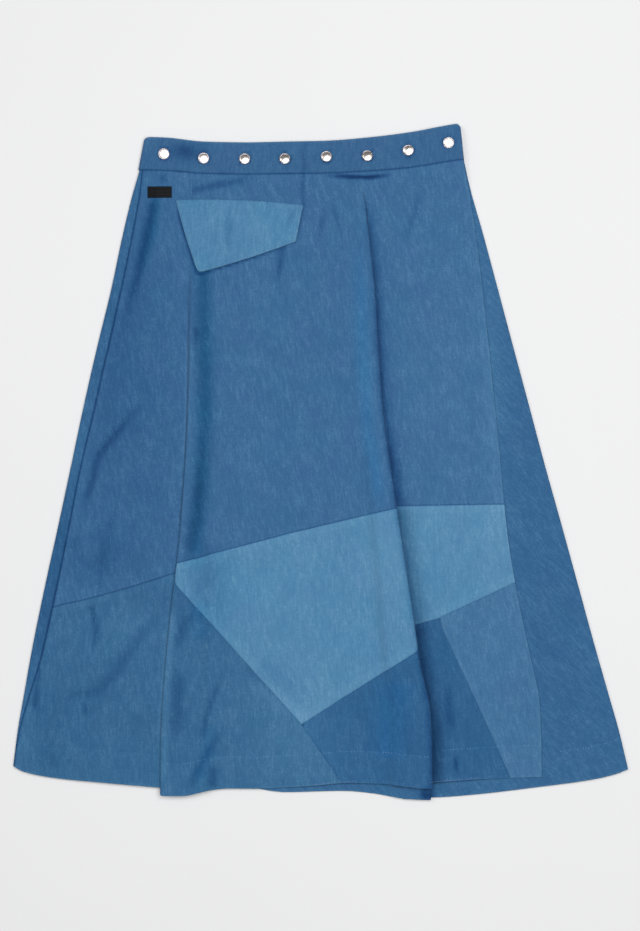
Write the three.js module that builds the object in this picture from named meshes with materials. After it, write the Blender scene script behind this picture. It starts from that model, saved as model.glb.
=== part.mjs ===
// A flared wrap skirt in patched denim, laid flat on its back, front uppermost, with its waistband snapped shut.
// Millimetres. X runs across the skirt, Y from the hem up to the waist, and Z up from the surface that it lies on.
import * as THREE from "three";

const { lerp, degToRad, smoothstep } = THREE.MathUtils;

// Driving sizes.
const denimWall = 1.0; // one layer of cloth
const layerGap = 0.4; // air between two layers that lie on each other
const seamGap = 0.3; // between two pieces that are sewn edge to edge
const sideGap = 0.4; // between two panels at a side seam
const waistGap = 0.6; // between the panels and the waistband
const seatGap = 0.3; // between a trim and the cloth that it sits on
const layer = denimWall + layerGap;
const backHeight = denimWall / 2; // the middle of the back panel's wall
const underHeight = backHeight + layer;
const frontHeight = underHeight + layer;

const band = { wall: 2.0, corner: 4.5, left: -200.6, right: 159.5, underEnd: -191 };
const bandLayer = band.wall + layerGap;
const bandHeights = {
  back: band.wall / 2,
  under: band.wall / 2 + bandLayer,
  front: band.wall / 2 + 2 * bandLayer,
};
const riseToBand = 0.06; // the share of the length over which a panel climbs to the band

const snap = { radius: 6.25, dome: 1.1, rim: 0.5, sides: 18 };

// Beside a side fold the cloth stands up a little, from the given share of the way down.
const sidePuff = { height: 1.0, clear: 2, width: 18, leftFull: 0.06, rightFrom: 0.12, rightFull: 0.3 };
const foldRest = 2.5; // how far past its tuck a fold's top layer stays up

// The outline, by the share of the way down from the waist seam to the hem.
const outline = [
  { down: 0.0, left: -203.0, seamIn: 3.0, leftFold: -147.2, rightFold: 47.2, wrap: 160.8, right: 161.8 },
  { down: 0.05, left: -213.5, seamIn: 7.0, leftFold: -147.2, rightFold: 50.9, wrap: 167.6, right: 168.8 },
  { down: 0.12, left: -226.2, seamIn: 10.5, leftFold: -147.2, rightFold: 57.3, wrap: 175.5, right: 181.4 },
  { down: 0.2, left: -237.9, seamIn: 11.5, leftFold: -147.2, rightFold: 63.8, wrap: 182.5, right: 196.9 },
  { down: 0.3, left: -252.8, seamIn: 11.5, leftFold: -147.6, rightFold: 69.4, wrap: 190.1, right: 215.9 },
  { down: 0.4, left: -267.5, seamIn: 11.0, leftFold: -150.9, rightFold: 75.4, wrap: 197.2, right: 234.4 },
  { down: 0.5, left: -281.9, seamIn: 10.5, leftFold: -154.9, rightFold: 83.6, wrap: 204.2, right: 253.2 },
  { down: 0.6, left: -296.4, seamIn: 11.0, leftFold: -160.9, rightFold: 92.3, wrap: 210.8, right: 272.0 },
  { down: 0.7, left: -311.3, seamIn: 13.0, leftFold: -168.4, rightFold: 102.6, wrap: 221.9, right: 290.6 },
  { down: 0.8, left: -325.7, seamIn: 13.5, leftFold: -174.9, rightFold: 112.9, wrap: 236.6, right: 309.2 },
  { down: 0.88, left: -335.4, seamIn: 8.0, leftFold: -178.3, rightFold: 124.4, wrap: 247.6, right: 324.0 },
  { down: 0.94, left: -341.9, seamIn: 2.5, leftFold: -179.7, rightFold: 125.9, wrap: 249.6, right: 335.8 },
  { down: 1.0, left: -347.0, seamIn: 0.0, leftFold: -179.8, rightFold: 126.3, wrap: 250.0, right: 346.9 },
];
const underEdge = { waist: -190, hem: -250 }; // the free edge of the lapped layer
const rightSeamIn = 12; // how far the right side seam lies in from the side, on the underside

// Each fold turns the cloth over by so many degrees, runs back flat, and turns again, round a low and a high
// radius. Its top layer sags by a share of its height on its way to the end of the tuck, and then drops.
const foldSag = { front: 0.25, under: 0 };
const leftTuck = [
  { down: 0.0, turn: 6, run: 2, low: 6, high: 6, drop: 16 },
  { down: 0.1, turn: 7, run: 2, low: 6, high: 6, drop: 16 },
  { down: 0.17, turn: 34, run: 3, low: 4.5, high: 4.5, drop: 15 },
  { down: 0.27, turn: 55, run: 3, low: 3.2, high: 3.2, drop: 14 },
  { down: 0.365, turn: 85, run: 2.2, low: 1.8, high: 2.4, drop: 14 },
  { down: 0.445, turn: 140, run: 3.2, low: 1.1, high: 2.0, drop: 13 },
  { down: 0.525, turn: 180, run: 8, low: 0.7, high: 1.8, drop: 12 },
  { down: 0.64, turn: 180, run: 19, low: 0.7, high: 1.8, drop: 13 },
  { down: 0.81, turn: 180, run: 27, low: 0.7, high: 1.8, drop: 16 },
  { down: 1.0, turn: 180, run: 34, low: 0.7, high: 1.8, drop: 18 },
];
const rightTuck = [
  { down: 0.0, turn: 8, run: 2, low: 6, high: 6, drop: 18 },
  { down: 0.05, turn: 50, run: 2, low: 3, high: 3, drop: 18 },
  { down: 0.12, turn: 110, run: 1.2, low: 1.3, high: 2.2, drop: 20 },
  { down: 0.2, turn: 165, run: 3, low: 0.9, high: 1.9, drop: 22 },
  { down: 0.28, turn: 180, run: 6, low: 0.7, high: 1.8, drop: 24 },
  { down: 0.45, turn: 180, run: 11, low: 0.7, high: 1.8, drop: 26 },
  { down: 0.6, turn: 180, run: 17, low: 0.7, high: 1.8, drop: 26 },
  { down: 0.8, turn: 180, run: 25, low: 0.7, high: 1.8, drop: 24 },
  { down: 1.0, turn: 180, run: 32, low: 0.7, high: 1.8, drop: 22 },
];
// The lapped layer has a fold of its own below the right one, in the lower half only.
const underFoldIn = 1.5; // how far its edge lies inside the front's
const underTuck = [
  { down: 0.0, turn: 6, run: 2, low: 6, high: 6, drop: 8 },
  { down: 0.5, turn: 7, run: 2, low: 6, high: 6, drop: 8 },
  { down: 0.56, turn: 60, run: 1, low: 1.2, high: 1.2, drop: 10 },
  { down: 0.61, turn: 120, run: 0.4, low: 0.75, high: 0.75, drop: 12 },
  { down: 0.66, turn: 180, run: 6, low: 0.7, high: 0.7, drop: 14 },
  { down: 0.8, turn: 180, run: 23, low: 0.7, high: 0.7, drop: 14 },
  { down: 1.0, turn: 180, run: 30, low: 0.7, high: 0.7, drop: 14 },
];
const overUnderFold = { height: 3.6, from: 0.4, full: 0.52, margin: 8, past: 3, soft: 12 };

// The waistband's centre line, how far it leans, and its height, which grows a little towards its ends.
const bandLine = [
  { across: -202, y: 348.8, lean: 11, height: 39.5 },
  { across: -176.6, y: 348.2, lean: 7, height: 38.6 },
  { across: -131.4, y: 344.1, lean: 4, height: 37.4 },
  { across: -85.0, y: 342.2, lean: 2, height: 36.6 },
  { across: -39.8, y: 342.6, lean: 0, height: 36.4 },
  { across: 7.2, y: 344.4, lean: -1, height: 36.4 },
  { across: 53.4, y: 347.0, lean: -2, height: 36.8 },
  { across: 99.4, y: 352.8, lean: -4, height: 37.4 },
  { across: 144.6, y: 361.5, lean: -6, height: 38.8 },
  { across: 162, y: 364.2, lean: -6, height: 39.4 },
];

// The caps of the snaps, about 46 mm apart.
const snaps = [
  { across: -176.9, y: 348.2 },
  { across: -131.5, y: 343.6 },
  { across: -84.7, y: 342.6 },
  { across: -40.1, y: 343.0 },
  { across: 7.2, y: 344.8 },
  { across: 53.4, y: 346.6 },
  { across: 99.4, y: 352.6 },
  { across: 144.6, y: 361.3 },
];

// Hems. The front and the lapped layer are read along their own cloth, which is numbered from fold to fold.
const frontHem = [
  { cloth: 0, y: -342.4 }, // side seam
  { cloth: 0.064, y: -350.3 },
  { cloth: 0.26, y: -357.1 },
  { cloth: 0.48, y: -361.6 },
  { cloth: 0.82, y: -368.4 },
  { cloth: 1, y: -371.4 }, // the left tuck begins
  { cloth: 2, y: -376.9 }, // the left fold's crest
  { cloth: 2.07, y: -377.2 },
  { cloth: 2.18, y: -370.8 },
  { cloth: 2.33, y: -368.0 },
  { cloth: 2.56, y: -365.2 },
  { cloth: 2.68, y: -361.9 },
  { cloth: 2.83, y: -363.0 },
  { cloth: 3, y: -367.5 }, // the right fold's crest
  { cloth: 4, y: -363.6 }, // the right tuck ends
  { cloth: 4.25, y: -361.2 },
  { cloth: 4.6, y: -357.5 },
  { cloth: 5, y: -355.4 }, // wrap edge
];
const underHem = [
  { cloth: 0, y: -352.6 }, // free edge
  { cloth: 0.19, y: -358.3 },
  { cloth: 0.34, y: -362.9 },
  { cloth: 0.46, y: -367.4 },
  { cloth: 0.56, y: -372.5 },
  { cloth: 0.74, y: -371.8 },
  { cloth: 0.81, y: -372.9 },
  { cloth: 0.94, y: -381.3 },
  { cloth: 1, y: -382.3 }, // the fold's crest
  { cloth: 2, y: -380.2 }, // its tuck ends
  { cloth: 2.14, y: -378.5 },
  { cloth: 2.29, y: -377.0 },
  { cloth: 2.6, y: -367.8 },
  { cloth: 2.83, y: -358.9 },
  { cloth: 3, y: -347.2 }, // right side
  { cloth: 4, y: -346.2 },
  { cloth: 5, y: -350.0 }, // right seam, on the underside
];
const backHem = [
  { across: -346.6, y: -342.4 },
  { across: -333, y: -349.4 },
  { across: -294, y: -354.4 },
  { across: -180, y: -361.5 },
  { across: -20, y: -364.5 },
  { across: 124, y: -369.0 },
  { across: 246, y: -361.5 },
  { across: 334, y: -350.0 },
  { across: 347, y: -346.0 },
];

// The seams of the patchwork: how far down the cloth each runs.
const upperSeam = [
  { cloth: 0, down: 0.734 },
  { cloth: 0.064, down: 0.7215 },
  { cloth: 0.26, down: 0.7047 },
  { cloth: 0.5, down: 0.6876 },
  { cloth: 1, down: 0.6425 },
  { cloth: 2, down: 0.6265 },
  { cloth: 2.5, down: 0.5865 },
  { cloth: 3, down: 0.5465 },
  { cloth: 4, down: 0.5465 },
  { cloth: 5, down: 0.5585 },
];
const corner = {
  lightTip: 1.86, // the light patch's point, just round the left fold
  lightFoot: 2.52, // its lowest corner, where the dark patch begins
  darkFoot: 2.671, // the dark patch's left corner on the hem
  slantTop: 4.381, // the top and the foot of the seam between the dark patch and the lower right one
  slantFoot: 4.779,
};
const lightSeam = [
  { cloth: 1.8, down: 0.63 },
  { cloth: 2, down: 0.648 },
  { cloth: corner.lightFoot, down: 0.899 },
  { cloth: 3, down: 0.7785 },
  { cloth: 4, down: 0.742 },
  { cloth: corner.slantTop, down: 0.742 },
  { cloth: 5, down: 0.695 },
];
const leftSlant = [
  { cloth: corner.lightFoot, down: 0.899 },
  { cloth: corner.darkFoot, down: 1 },
];
const rightSlant = [
  { cloth: corner.slantTop, down: 0.742 },
  { cloth: corner.slantFoot, down: 1 },
];

const pocketFlap = {
  wall: 1.0,
  seat: 0.1, // its extra clearance along the sewn edge
  lift: 0.8, // how far its free edge stands off the skirt
  topLeft: [-162.4, 295.5],
  topRight: [-19.2, 290.0],
  topBow: 2.6, // how far the top edge bows upwards
  lowRight: [-27.6, 248.4],
  lowLeft: [-137.0, 213.8],
  across: 12,
  down: 6,
};
const label = { wall: 0.6, seat: 0.1, left: -194.4, right: -166.2, top: 311.4, low: 298.8, across: 4, down: 2 };

// The colours of the cloth and the trims.
const colours = {
  denim: 0x3f6c96,
  lightDenim: 0x5385ac,
  lowerDenim: 0x3d6a93,
  darkDenim: 0x33628d,
  paleDenim: 0x446f98,
  metal: 0xd9d4cf,
  label: 0x16161a,
};

// A smooth curve through one column of a table, flat beyond its ends and with no overshoot.
function column(rows, along, key) {
  const at = rows.map((row) => row[along]);
  const value = rows.map((row) => row[key]);
  const slope = at.slice(1).map((x, i) => (value[i + 1] - value[i]) / (x - at[i]));
  const tangent = value.map((_, i) => {
    const before = slope[i - 1] ?? slope[i];
    const after = slope[i] ?? slope[i - 1];
    return before * after <= 0 ? 0 : (2 * before * after) / (before + after);
  });
  return (x) => {
    if (x <= at[0]) return value[0];
    if (x >= at.at(-1)) return value.at(-1);
    const i = at.findIndex((next) => next >= x) - 1;
    const width = at[i + 1] - at[i];
    const s = (x - at[i]) / width;
    const bend = s * (1 - s) * width * (tangent[i] * (1 - s) - tangent[i + 1] * s);
    const ease = s * s * (3 - 2 * s);
    return value[i] * (1 - ease) + value[i + 1] * ease + bend;
  };
}

// A straight-sided line through one column of a table.
function straight(rows, along, key) {
  return (x) => {
    const next = rows.findIndex((row) => row[along] >= x);
    if (next < 0) return rows.at(-1)[key];
    if (next === 0) return rows[0][key];
    const [a, b] = [rows[next - 1], rows[next]];
    return lerp(a[key], b[key], (x - a[along]) / (b[along] - a[along]));
  };
}

const columns = (rows, along) =>
  Object.fromEntries(Object.keys(rows[0]).map((key) => [key, column(rows, along, key)]));
const edge = columns(outline, "down");
const bandAt = columns(bandLine, "across");
const hemY = {
  front: column(frontHem, "cloth", "y"),
  under: column(underHem, "cloth", "y"),
  back: column(backHem, "across", "y"),
};
const seamAt = {
  upper: straight(upperSeam, "cloth", "down"),
  light: straight(lightSeam, "cloth", "down"),
  leftSlant: straight(leftSlant, "cloth", "down"),
  rightSlant: straight(rightSlant, "cloth", "down"),
};

// One fold, at a given way down: its radii, its turn, and how far across and up the whole of it goes.
function tuckReader(rows) {
  const read = columns(rows, "down");
  return (down) => {
    const turn = degToRad(read.turn(down));
    const fold = { turn, run: read.run(down), low: read.low(down), high: read.high(down), drop: read.drop(down) };
    const round = fold.low + fold.high;
    fold.width = round * Math.sin(turn) + fold.run * Math.cos(turn);
    fold.height = round * (1 - Math.cos(turn)) + fold.run * Math.sin(turn);
    return fold;
  };
}
const tuckAt = { left: tuckReader(leftTuck), right: tuckReader(rightTuck), under: tuckReader(underTuck) };

const arcShare = 0.4; // of a fold's numbering goes to each of its arcs, and the rest to its flat run

// A point of a fold, from where it leaves the flat cloth at 0 to its crest at 1.
function foldPoint(fold, share) {
  const arc = Math.min(share / arcShare, 1) * fold.turn;
  const run = THREE.MathUtils.clamp((share - arcShare) / (1 - 2 * arcShare), 0, 1) * fold.run;
  const back = share > 1 - arcShare ? ((1 - share) / arcShare) * fold.turn : fold.turn;
  const lowArc = { across: fold.low * Math.sin(arc), up: fold.low * (1 - Math.cos(arc)) };
  const highArc = {
    across: fold.high * (Math.sin(fold.turn) - Math.sin(back)),
    up: fold.high * (Math.cos(back) - Math.cos(fold.turn)),
  };
  return {
    across: lowArc.across + run * Math.cos(fold.turn) + highArc.across,
    up: lowArc.up + run * Math.sin(fold.turn) + highArc.up,
  };
}

// How much of a fold's height its top layer keeps, at a distance past the crest.
function topKept(fold, distance, sagShare) {
  const tuck = Math.max(0, -Math.cos(fold.turn)) * (fold.run + fold.low) + foldRest;
  const sag = 1 - sagShare * smoothstep(distance, 0, tuck);
  return sag * (1 - smoothstep(distance, tuck, tuck + fold.drop));
}

const climb = (down) => 1 - smoothstep(down, 0, riseToBand);

// The height of the lapped layer's wall, and of the front's, away from their folds.
function underBase(x, down) {
  const inward = edge.right(down) - x;
  const reach = 1 - smoothstep(inward, sidePuff.clear, sidePuff.width);
  const puff = sidePuff.height * smoothstep(down, sidePuff.rightFrom, sidePuff.rightFull) * reach;
  return underHeight + (bandHeights.under - underHeight) * climb(down) + puff;
}

function frontBase(x, down) {
  const reach = 1 - smoothstep(x - edge.left(down), sidePuff.clear, sidePuff.width);
  const puff = sidePuff.height * smoothstep(down, 0, sidePuff.leftFull) * reach;
  const over = overUnderFold;
  const fold = edge.rightFold(down);
  const start = fold - tuckAt.right(down).run - over.margin;
  const finish = fold + over.past;
  const rise = smoothstep(x, start - over.soft, start) * (1 - smoothstep(x, finish, finish + over.soft));
  const lift = over.height * smoothstep(down, over.from, over.full) * rise;
  return frontHeight + (bandHeights.front - frontHeight) * climb(down) + puff + lift;
}

// The left side, where the back panel turns over on to the front. Distances run along the cloth from its outermost
// point, and are negative on the underside.
const leftRadius = (down) => (frontBase(edge.left(down), down) - backHeight) / 2;
const alongFor = (inward, radius) =>
  inward < radius ? radius * Math.acos(1 - inward / radius) : (Math.PI / 2) * radius + inward - radius;

function leftTurn(along, down) {
  const radius = leftRadius(down);
  const quarter = (Math.PI / 2) * radius;
  const side = edge.left(down);
  if (along >= quarter) {
    const x = side + radius + along - quarter;
    return { x, z: frontBase(x, down) };
  }
  return {
    x: side + radius * (1 - Math.cos(along / radius)),
    z: backHeight + radius + radius * Math.sin(along / radius),
  };
}

// The front, from the side seam at 0 through the left fold, 1 to 2, the middle, and the right fold, 3 to 4, to the
// wrap edge at 5.
function frontSection(cloth, down) {
  const left = tuckAt.left(down);
  const right = tuckAt.right(down);
  const crest = { left: edge.leftFold(down) + left.high, right: edge.rightFold(down) - right.high };
  const toe = { left: crest.left - left.width, right: crest.right + right.width };
  if (cloth <= 1) {
    const radius = leftRadius(down);
    const from = alongFor(edge.seamIn(down), radius);
    const to = alongFor(toe.left - edge.left(down), radius);
    return leftTurn(lerp(from, to, cloth), down);
  }
  if (cloth < 2) {
    const at = foldPoint(left, cloth - 1);
    return { x: toe.left + at.across, z: frontBase(toe.left, down) + at.up };
  }
  if (cloth <= 3) {
    const x = lerp(crest.left, crest.right, cloth - 2);
    const leftUp = left.height * topKept(left, x - crest.left, foldSag.front);
    const rightUp = right.height * topKept(right, crest.right - x, foldSag.front);
    return { x, z: frontBase(x, down) + leftUp + rightUp };
  }
  if (cloth < 4) {
    const at = foldPoint(right, 4 - cloth);
    return { x: toe.right - at.across, z: frontBase(toe.right, down) + at.up };
  }
  const x = lerp(toe.right, edge.wrap(down), cloth - 4);
  return { x, z: frontBase(x, down) };
}

// The lapped layer, from its free edge at 0 through its fold, 1 to 2, and round the right side, 3 to 4, to its
// seam on the underside at 5.
function underSection(cloth, down) {
  const fold = tuckAt.under(down);
  const crest = edge.rightFold(down) - underFoldIn - fold.high;
  const toe = crest + fold.width;
  const side = edge.right(down);
  const radius = (underBase(side, down) - backHeight) / 2;
  if (cloth <= 1) {
    const x = lerp(lerp(underEdge.waist, underEdge.hem, down), crest, cloth);
    return { x, z: underBase(x, down) + fold.height * topKept(fold, crest - x, foldSag.under) };
  }
  if (cloth < 2) {
    const at = foldPoint(fold, 2 - cloth);
    return { x: toe - at.across, z: underBase(toe, down) + at.up };
  }
  if (cloth <= 3) {
    const x = lerp(toe, side - radius, cloth - 2);
    return { x, z: underBase(x, down) };
  }
  if (cloth <= 4) {
    const angle = Math.PI * (cloth - 3);
    return { x: side - radius + radius * Math.sin(angle), z: backHeight + radius + radius * Math.cos(angle) };
  }
  return { x: lerp(side - radius, side - rightSeamIn, cloth - 4), z: backHeight };
}

// The back panel, from the side seam on the front at 0, round the left side from 1 to 2, and across the
// underside to the right side seam at 3.
function backSection(cloth, down) {
  const radius = leftRadius(down);
  const quarter = (Math.PI / 2) * radius;
  const from = alongFor(edge.seamIn(down), radius) - sideGap;
  const turnFrom = Math.min(quarter, from - 1);
  if (cloth <= 1) return leftTurn(lerp(from, turnFrom, cloth), down);
  if (cloth <= 2) return leftTurn(lerp(turnFrom, -quarter, cloth - 1), down);
  const end = edge.right(down) - rightSeamIn - sideGap;
  return { x: lerp(edge.left(down) + radius, end, cloth - 2), z: backHeight };
}

// Where a panel starts, just below the waistband's lower edge.
function waistSeamY(across) {
  let x = across;
  for (let round = 0; round < 4; round++) x = across + (bandAt.height(x) / 2) * Math.sin(degToRad(bandAt.lean(x)));
  return bandAt.y(x) - (bandAt.height(x) / 2) * Math.cos(degToRad(bandAt.lean(x))) - waistGap;
}

// A point of a panel: its section, set between the waist seam and its own hem.
function panelPoint(section, hem) {
  return (cloth, down) => {
    const waistY = waistSeamY(section(cloth, 0).x);
    const { x, z } = section(cloth, down);
    return new THREE.Vector3(x, lerp(waistY, hem(cloth), down), z);
  };
}
const frontPoint = panelPoint(frontSection, hemY.front);
const underPoint = panelPoint(underSection, hemY.under);
const backPoint = panelPoint(backSection, (cloth) => hemY.back(backSection(cloth, 1).x));

// A wall of cloth from a grid of its middle points and their normals.
function wallFrom(grid, thickness) {
  const positions = [];
  const place = (row, side) =>
    row.map(({ middle, normal }) => middle.clone().addScaledVector(normal, (side * thickness) / 2));
  const top = grid.map((row) => place(row, 1));
  const low = grid.map((row) => place(row, -1));
  const face = (...corners) => corners.forEach((corner) => positions.push(...corner.toArray()));
  const quad = (a, b, c, d) => {
    face(a, b, c);
    face(a, c, d);
  };
  const lastRow = grid.length - 1;
  const lastColumn = grid[0].length - 1;
  for (let i = 0; i < lastRow; i++) {
    for (let j = 0; j < lastColumn; j++) {
      quad(top[i][j], top[i + 1][j], top[i + 1][j + 1], top[i][j + 1]);
      quad(low[i][j], low[i][j + 1], low[i + 1][j + 1], low[i + 1][j]);
    }
    quad(top[i][0], low[i][0], low[i + 1][0], top[i + 1][0]);
    quad(top[i][lastColumn], top[i + 1][lastColumn], low[i + 1][lastColumn], low[i][lastColumn]);
  }
  for (let j = 0; j < lastColumn; j++) {
    quad(top[0][j], top[0][j + 1], low[0][j + 1], low[0][j]);
    quad(top[lastRow][j], low[lastRow][j], low[lastRow][j + 1], top[lastRow][j + 1]);
  }
  const geometry = new THREE.BufferGeometry();
  geometry.setAttribute("position", new THREE.Float32BufferAttribute(positions, 3));
  return geometry;
}

const steps = (from, to, count) => Array.from({ length: count + 1 }, (_, i) => lerp(from, to, i / count));
const nudge = 1e-4; // the step that finds a surface's slope
const closest = 0.004; // how near to a patch's end a column of its grid may stand

function normalAt(point, cloth, down, ends) {
  const slope = (a, b) => b.clone().sub(a);
  const across = slope(
    point(Math.max(cloth - nudge, ends[0]), down),
    point(Math.min(cloth + nudge, ends[1]), down),
  );
  const along = slope(point(cloth, Math.max(down - nudge, 0)), point(cloth, Math.min(down + nudge, 1)));
  return along.cross(across).normalize();
}

// A panel between two lines down the cloth, over the numbered columns from one to another.
function panel(point, { from, to, top, low, stations, rows, ends }) {
  const inside = stations.filter((cloth) => cloth > from + closest && cloth < to - closest);
  const across = [from, ...inside, to];
  const grid = rows.map((share) =>
    across.map((cloth) => {
      const down = lerp(top(cloth), low(cloth), share);
      return { middle: point(cloth, down), normal: normalAt(point, cloth, down, ends) };
    }),
  );
  return wallFrom(grid, denimWall);
}

// Where the grids have their columns. Folds and side turns have the closest ones.
const foldSteps = (from) => [
  ...steps(from, from + arcShare, 4),
  ...steps(from + 1 - arcShare, from + 1, 4),
];
const mirrored = (from) => foldSteps(from).map((cloth) => 2 * from + 1 - cloth).reverse();
const stations = {
  front: [
    ...[0, 0.008, 0.02, 0.064, 0.12, 0.26, 0.5, 0.75, 0.93],
    ...foldSteps(1),
    ...[0.03, 0.06, 0.09, 0.13, 0.18, 0.25, 0.38, 0.52, 0.671, 0.76, 0.83, 0.88, 0.92, 0.96].map((s) => 2 + s),
    ...mirrored(3),
    ...[0.1, 0.2, 0.29, 0.381, 0.5, 0.64, 0.779, 1].map((s) => 4 + s),
  ],
  under: [
    ...[0, 0.12, 0.25, 0.38, 0.5, 0.62, 0.75, 0.83, 0.87, 0.9, 0.925, 0.95, 0.97],
    ...mirrored(1),
    ...[0.3, 0.6, 0.88, 0.94].map((s) => 2 + s),
    ...steps(3, 4, 6),
    5,
  ],
  back: [0, ...steps(1, 2, 6), ...[0.04, ...steps(0.1, 1, 10)].map((s) => 2 + s)],
};

// Half of a seam's gap, as a share of the way down.
const clothLength = 690; // from the waist seam to the hem
const halfGap = seamGap / 2 / clothLength;
const tip = 1.1 / clothLength; // a patch's pointed end stops where it is this narrow
const above = (line) => (cloth) => line(cloth) - halfGap;
const below = (line) => (cloth) => line(cloth) + halfGap;
const waist = () => 0;
const hem = () => 1;

const finestSteps = 2000;

// Walks in from a patch's pointed end until the patch is wide enough to hold a wall.
function bluntEnd(top, low, from, towards) {
  const step = (towards - from) / finestSteps;
  let cloth = from;
  while (low(cloth) - top(cloth) < tip) cloth += step;
  return cloth;
}

function frontPatch({ from, to, top, low, rows }) {
  const ends = [0, 5];
  const start = bluntEnd(top, low, from, to);
  const finish = bluntEnd(top, low, to, from);
  const shares = steps(0, 1, rows);
  return panel(frontPoint, { from: start, to: finish, top, low, rows: shares, ends, stations: stations.front });
}

const lowerLeftTop = (cloth) => {
  if (cloth < corner.lightTip) return seamAt.upper(cloth);
  if (cloth < corner.lightFoot) return Math.max(seamAt.upper(cloth), seamAt.light(cloth));
  return seamAt.leftSlant(cloth);
};
const darkTop = (cloth) => (cloth < corner.slantTop ? seamAt.light(cloth) : seamAt.rightSlant(cloth));
const darkLow = (cloth) => (cloth < corner.darkFoot ? seamAt.leftSlant(cloth) - halfGap : 1);
const rightLow = (cloth) => (cloth < corner.slantFoot ? seamAt.rightSlant(cloth) - halfGap : 1);

const patches = {
  front_upper: { from: 0, to: 5, top: waist, low: above(seamAt.upper), rows: 15, colour: "denim" },
  front_light_insert: {
    from: corner.lightTip,
    to: 5,
    top: below(seamAt.upper),
    low: above(seamAt.light),
    rows: 6,
    colour: "lightDenim",
  },
  front_lower_left: {
    from: 0,
    to: corner.darkFoot,
    top: below(lowerLeftTop),
    low: hem,
    rows: 7,
    colour: "lowerDenim",
  },
  front_dark_insert: {
    from: corner.lightFoot,
    to: corner.slantFoot,
    top: below(darkTop),
    low: darkLow,
    rows: 6,
    colour: "darkDenim",
  },
  front_lower_right: {
    from: corner.slantTop,
    to: 5,
    top: below(seamAt.light),
    low: rightLow,
    rows: 6,
    colour: "paleDenim",
  },
};

// The waistband: one strip wound round the waist, from its snapped end on the front, round the left side, along
// the back, and round the right side to its other end below the snaps.
function waistband() {
  const start = band.right;
  const left = band.left;
  const turn = {
    left: (bandHeights.front - bandHeights.back) / 2,
    right: (bandHeights.under - bandHeights.back) / 2,
  };
  const path = [];
  const flat = (from, to, count, z, side) =>
    steps(from, to, count).forEach((x) => path.push({ x, z, across: 0, up: side }));
  const bend = (x, z, radius, side) =>
    steps(0, Math.PI, 6)
      .slice(1, -1)
      .forEach((angle) => {
        const [across, up] = [side * Math.sin(angle), Math.cos(angle) * -side];
        path.push({ x: x + radius * across, z: z + radius * up, across, up });
      });
  steps(0, band.corner, 3).forEach((x) => path.push({ x: start - x, z: bandHeights.front, across: 0, up: 1 }));
  flat(start - band.corner - 8, left + turn.left, 20, bandHeights.front, 1);
  bend(left + turn.left, bandHeights.back + turn.left, turn.left, -1);
  flat(left + turn.left, start - turn.right, 20, bandHeights.back, -1);
  bend(start - turn.right, bandHeights.back + turn.right, turn.right, 1);
  flat(start - turn.right, band.underEnd, 20, bandHeights.under, 1);
  const cut = (x) => {
    const past = Math.max(0, Math.abs(x - (start + left) / 2) - (start - left) / 2 + band.corner);
    return band.corner - Math.sqrt(Math.max(0, band.corner ** 2 - past ** 2));
  };
  const grid = [1, -1].map((side) =>
    path.map(({ x, z, across, up }) => {
      const lean = degToRad(bandAt.lean(x));
      const reach = (side * bandAt.height(x)) / 2 - (side > 0 ? cut(x) : 0);
      const middle = new THREE.Vector3(x + reach * Math.sin(lean), bandAt.y(x) + reach * Math.cos(lean), z);
      return { middle, normal: new THREE.Vector3(across, 0, up) };
    }),
  );
  return wallFrom(grid.map((row) => row.slice().reverse()), band.wall);
}

// The height of the front at a place seen from above, found along its own cloth.
function frontHeightAt(x, y) {
  let down = 0.2;
  let cloth = 0;
  for (let round = 0; round < 6; round++) {
    let [low, high] = [0, 3];
    while (high - low > 1e-5) {
      cloth = (low + high) / 2;
      if (frontSection(cloth, down).x < x) low = cloth;
      else high = cloth;
    }
    const [waistY, lowY] = [frontPoint(cloth, 0).y, frontPoint(cloth, 1).y];
    down = (waistY - y) / (waistY - lowY);
  }
  return frontPoint(cloth, down).z;
}

// A trim that lies on the front: its plan points, lifted clear of the cloth.
function trimOn(plan, across, down, wall, lift) {
  const reach = 2; // the distance over which the cloth's slope is read
  const grid = steps(0, 1, down).map((v) =>
    steps(0, 1, across).map((u) => {
      const [x, y] = plan(u, v);
      const height = (dx, dy) => frontHeightAt(x + dx, y + dy);
      const slopeX = (height(reach, 0) - height(-reach, 0)) / (2 * reach);
      const slopeY = (height(0, reach) - height(0, -reach)) / (2 * reach);
      const normal = new THREE.Vector3(-slopeX, -slopeY, 1).normalize();
      const clear = (denimWall + wall) / 2 + seatGap + lift(u, v);
      return { middle: new THREE.Vector3(x, y, height(0, 0)).addScaledVector(normal, clear), normal };
    }),
  );
  return wallFrom(grid, wall);
}

function flap() {
  const f = pocketFlap;
  const plan = (u, v) => {
    const topEdge = [lerp(f.topLeft[0], f.topRight[0], u), lerp(f.topLeft[1], f.topRight[1], u)];
    topEdge[1] += f.topBow * Math.sin(Math.PI * u);
    const lowEdge = [lerp(f.lowLeft[0], f.lowRight[0], u), lerp(f.lowLeft[1], f.lowRight[1], u)];
    return [lerp(topEdge[0], lowEdge[0], v), lerp(topEdge[1], lowEdge[1], v)];
  };
  return trimOn(plan, f.across, f.down, f.wall, (u, v) => f.seat + f.lift * v);
}

function wovenLabel() {
  const plan = (u, v) => [lerp(label.left, label.right, u), lerp(label.top, label.low, v)];
  return trimOn(plan, label.across, label.down, label.wall, () => label.seat);
}

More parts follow.
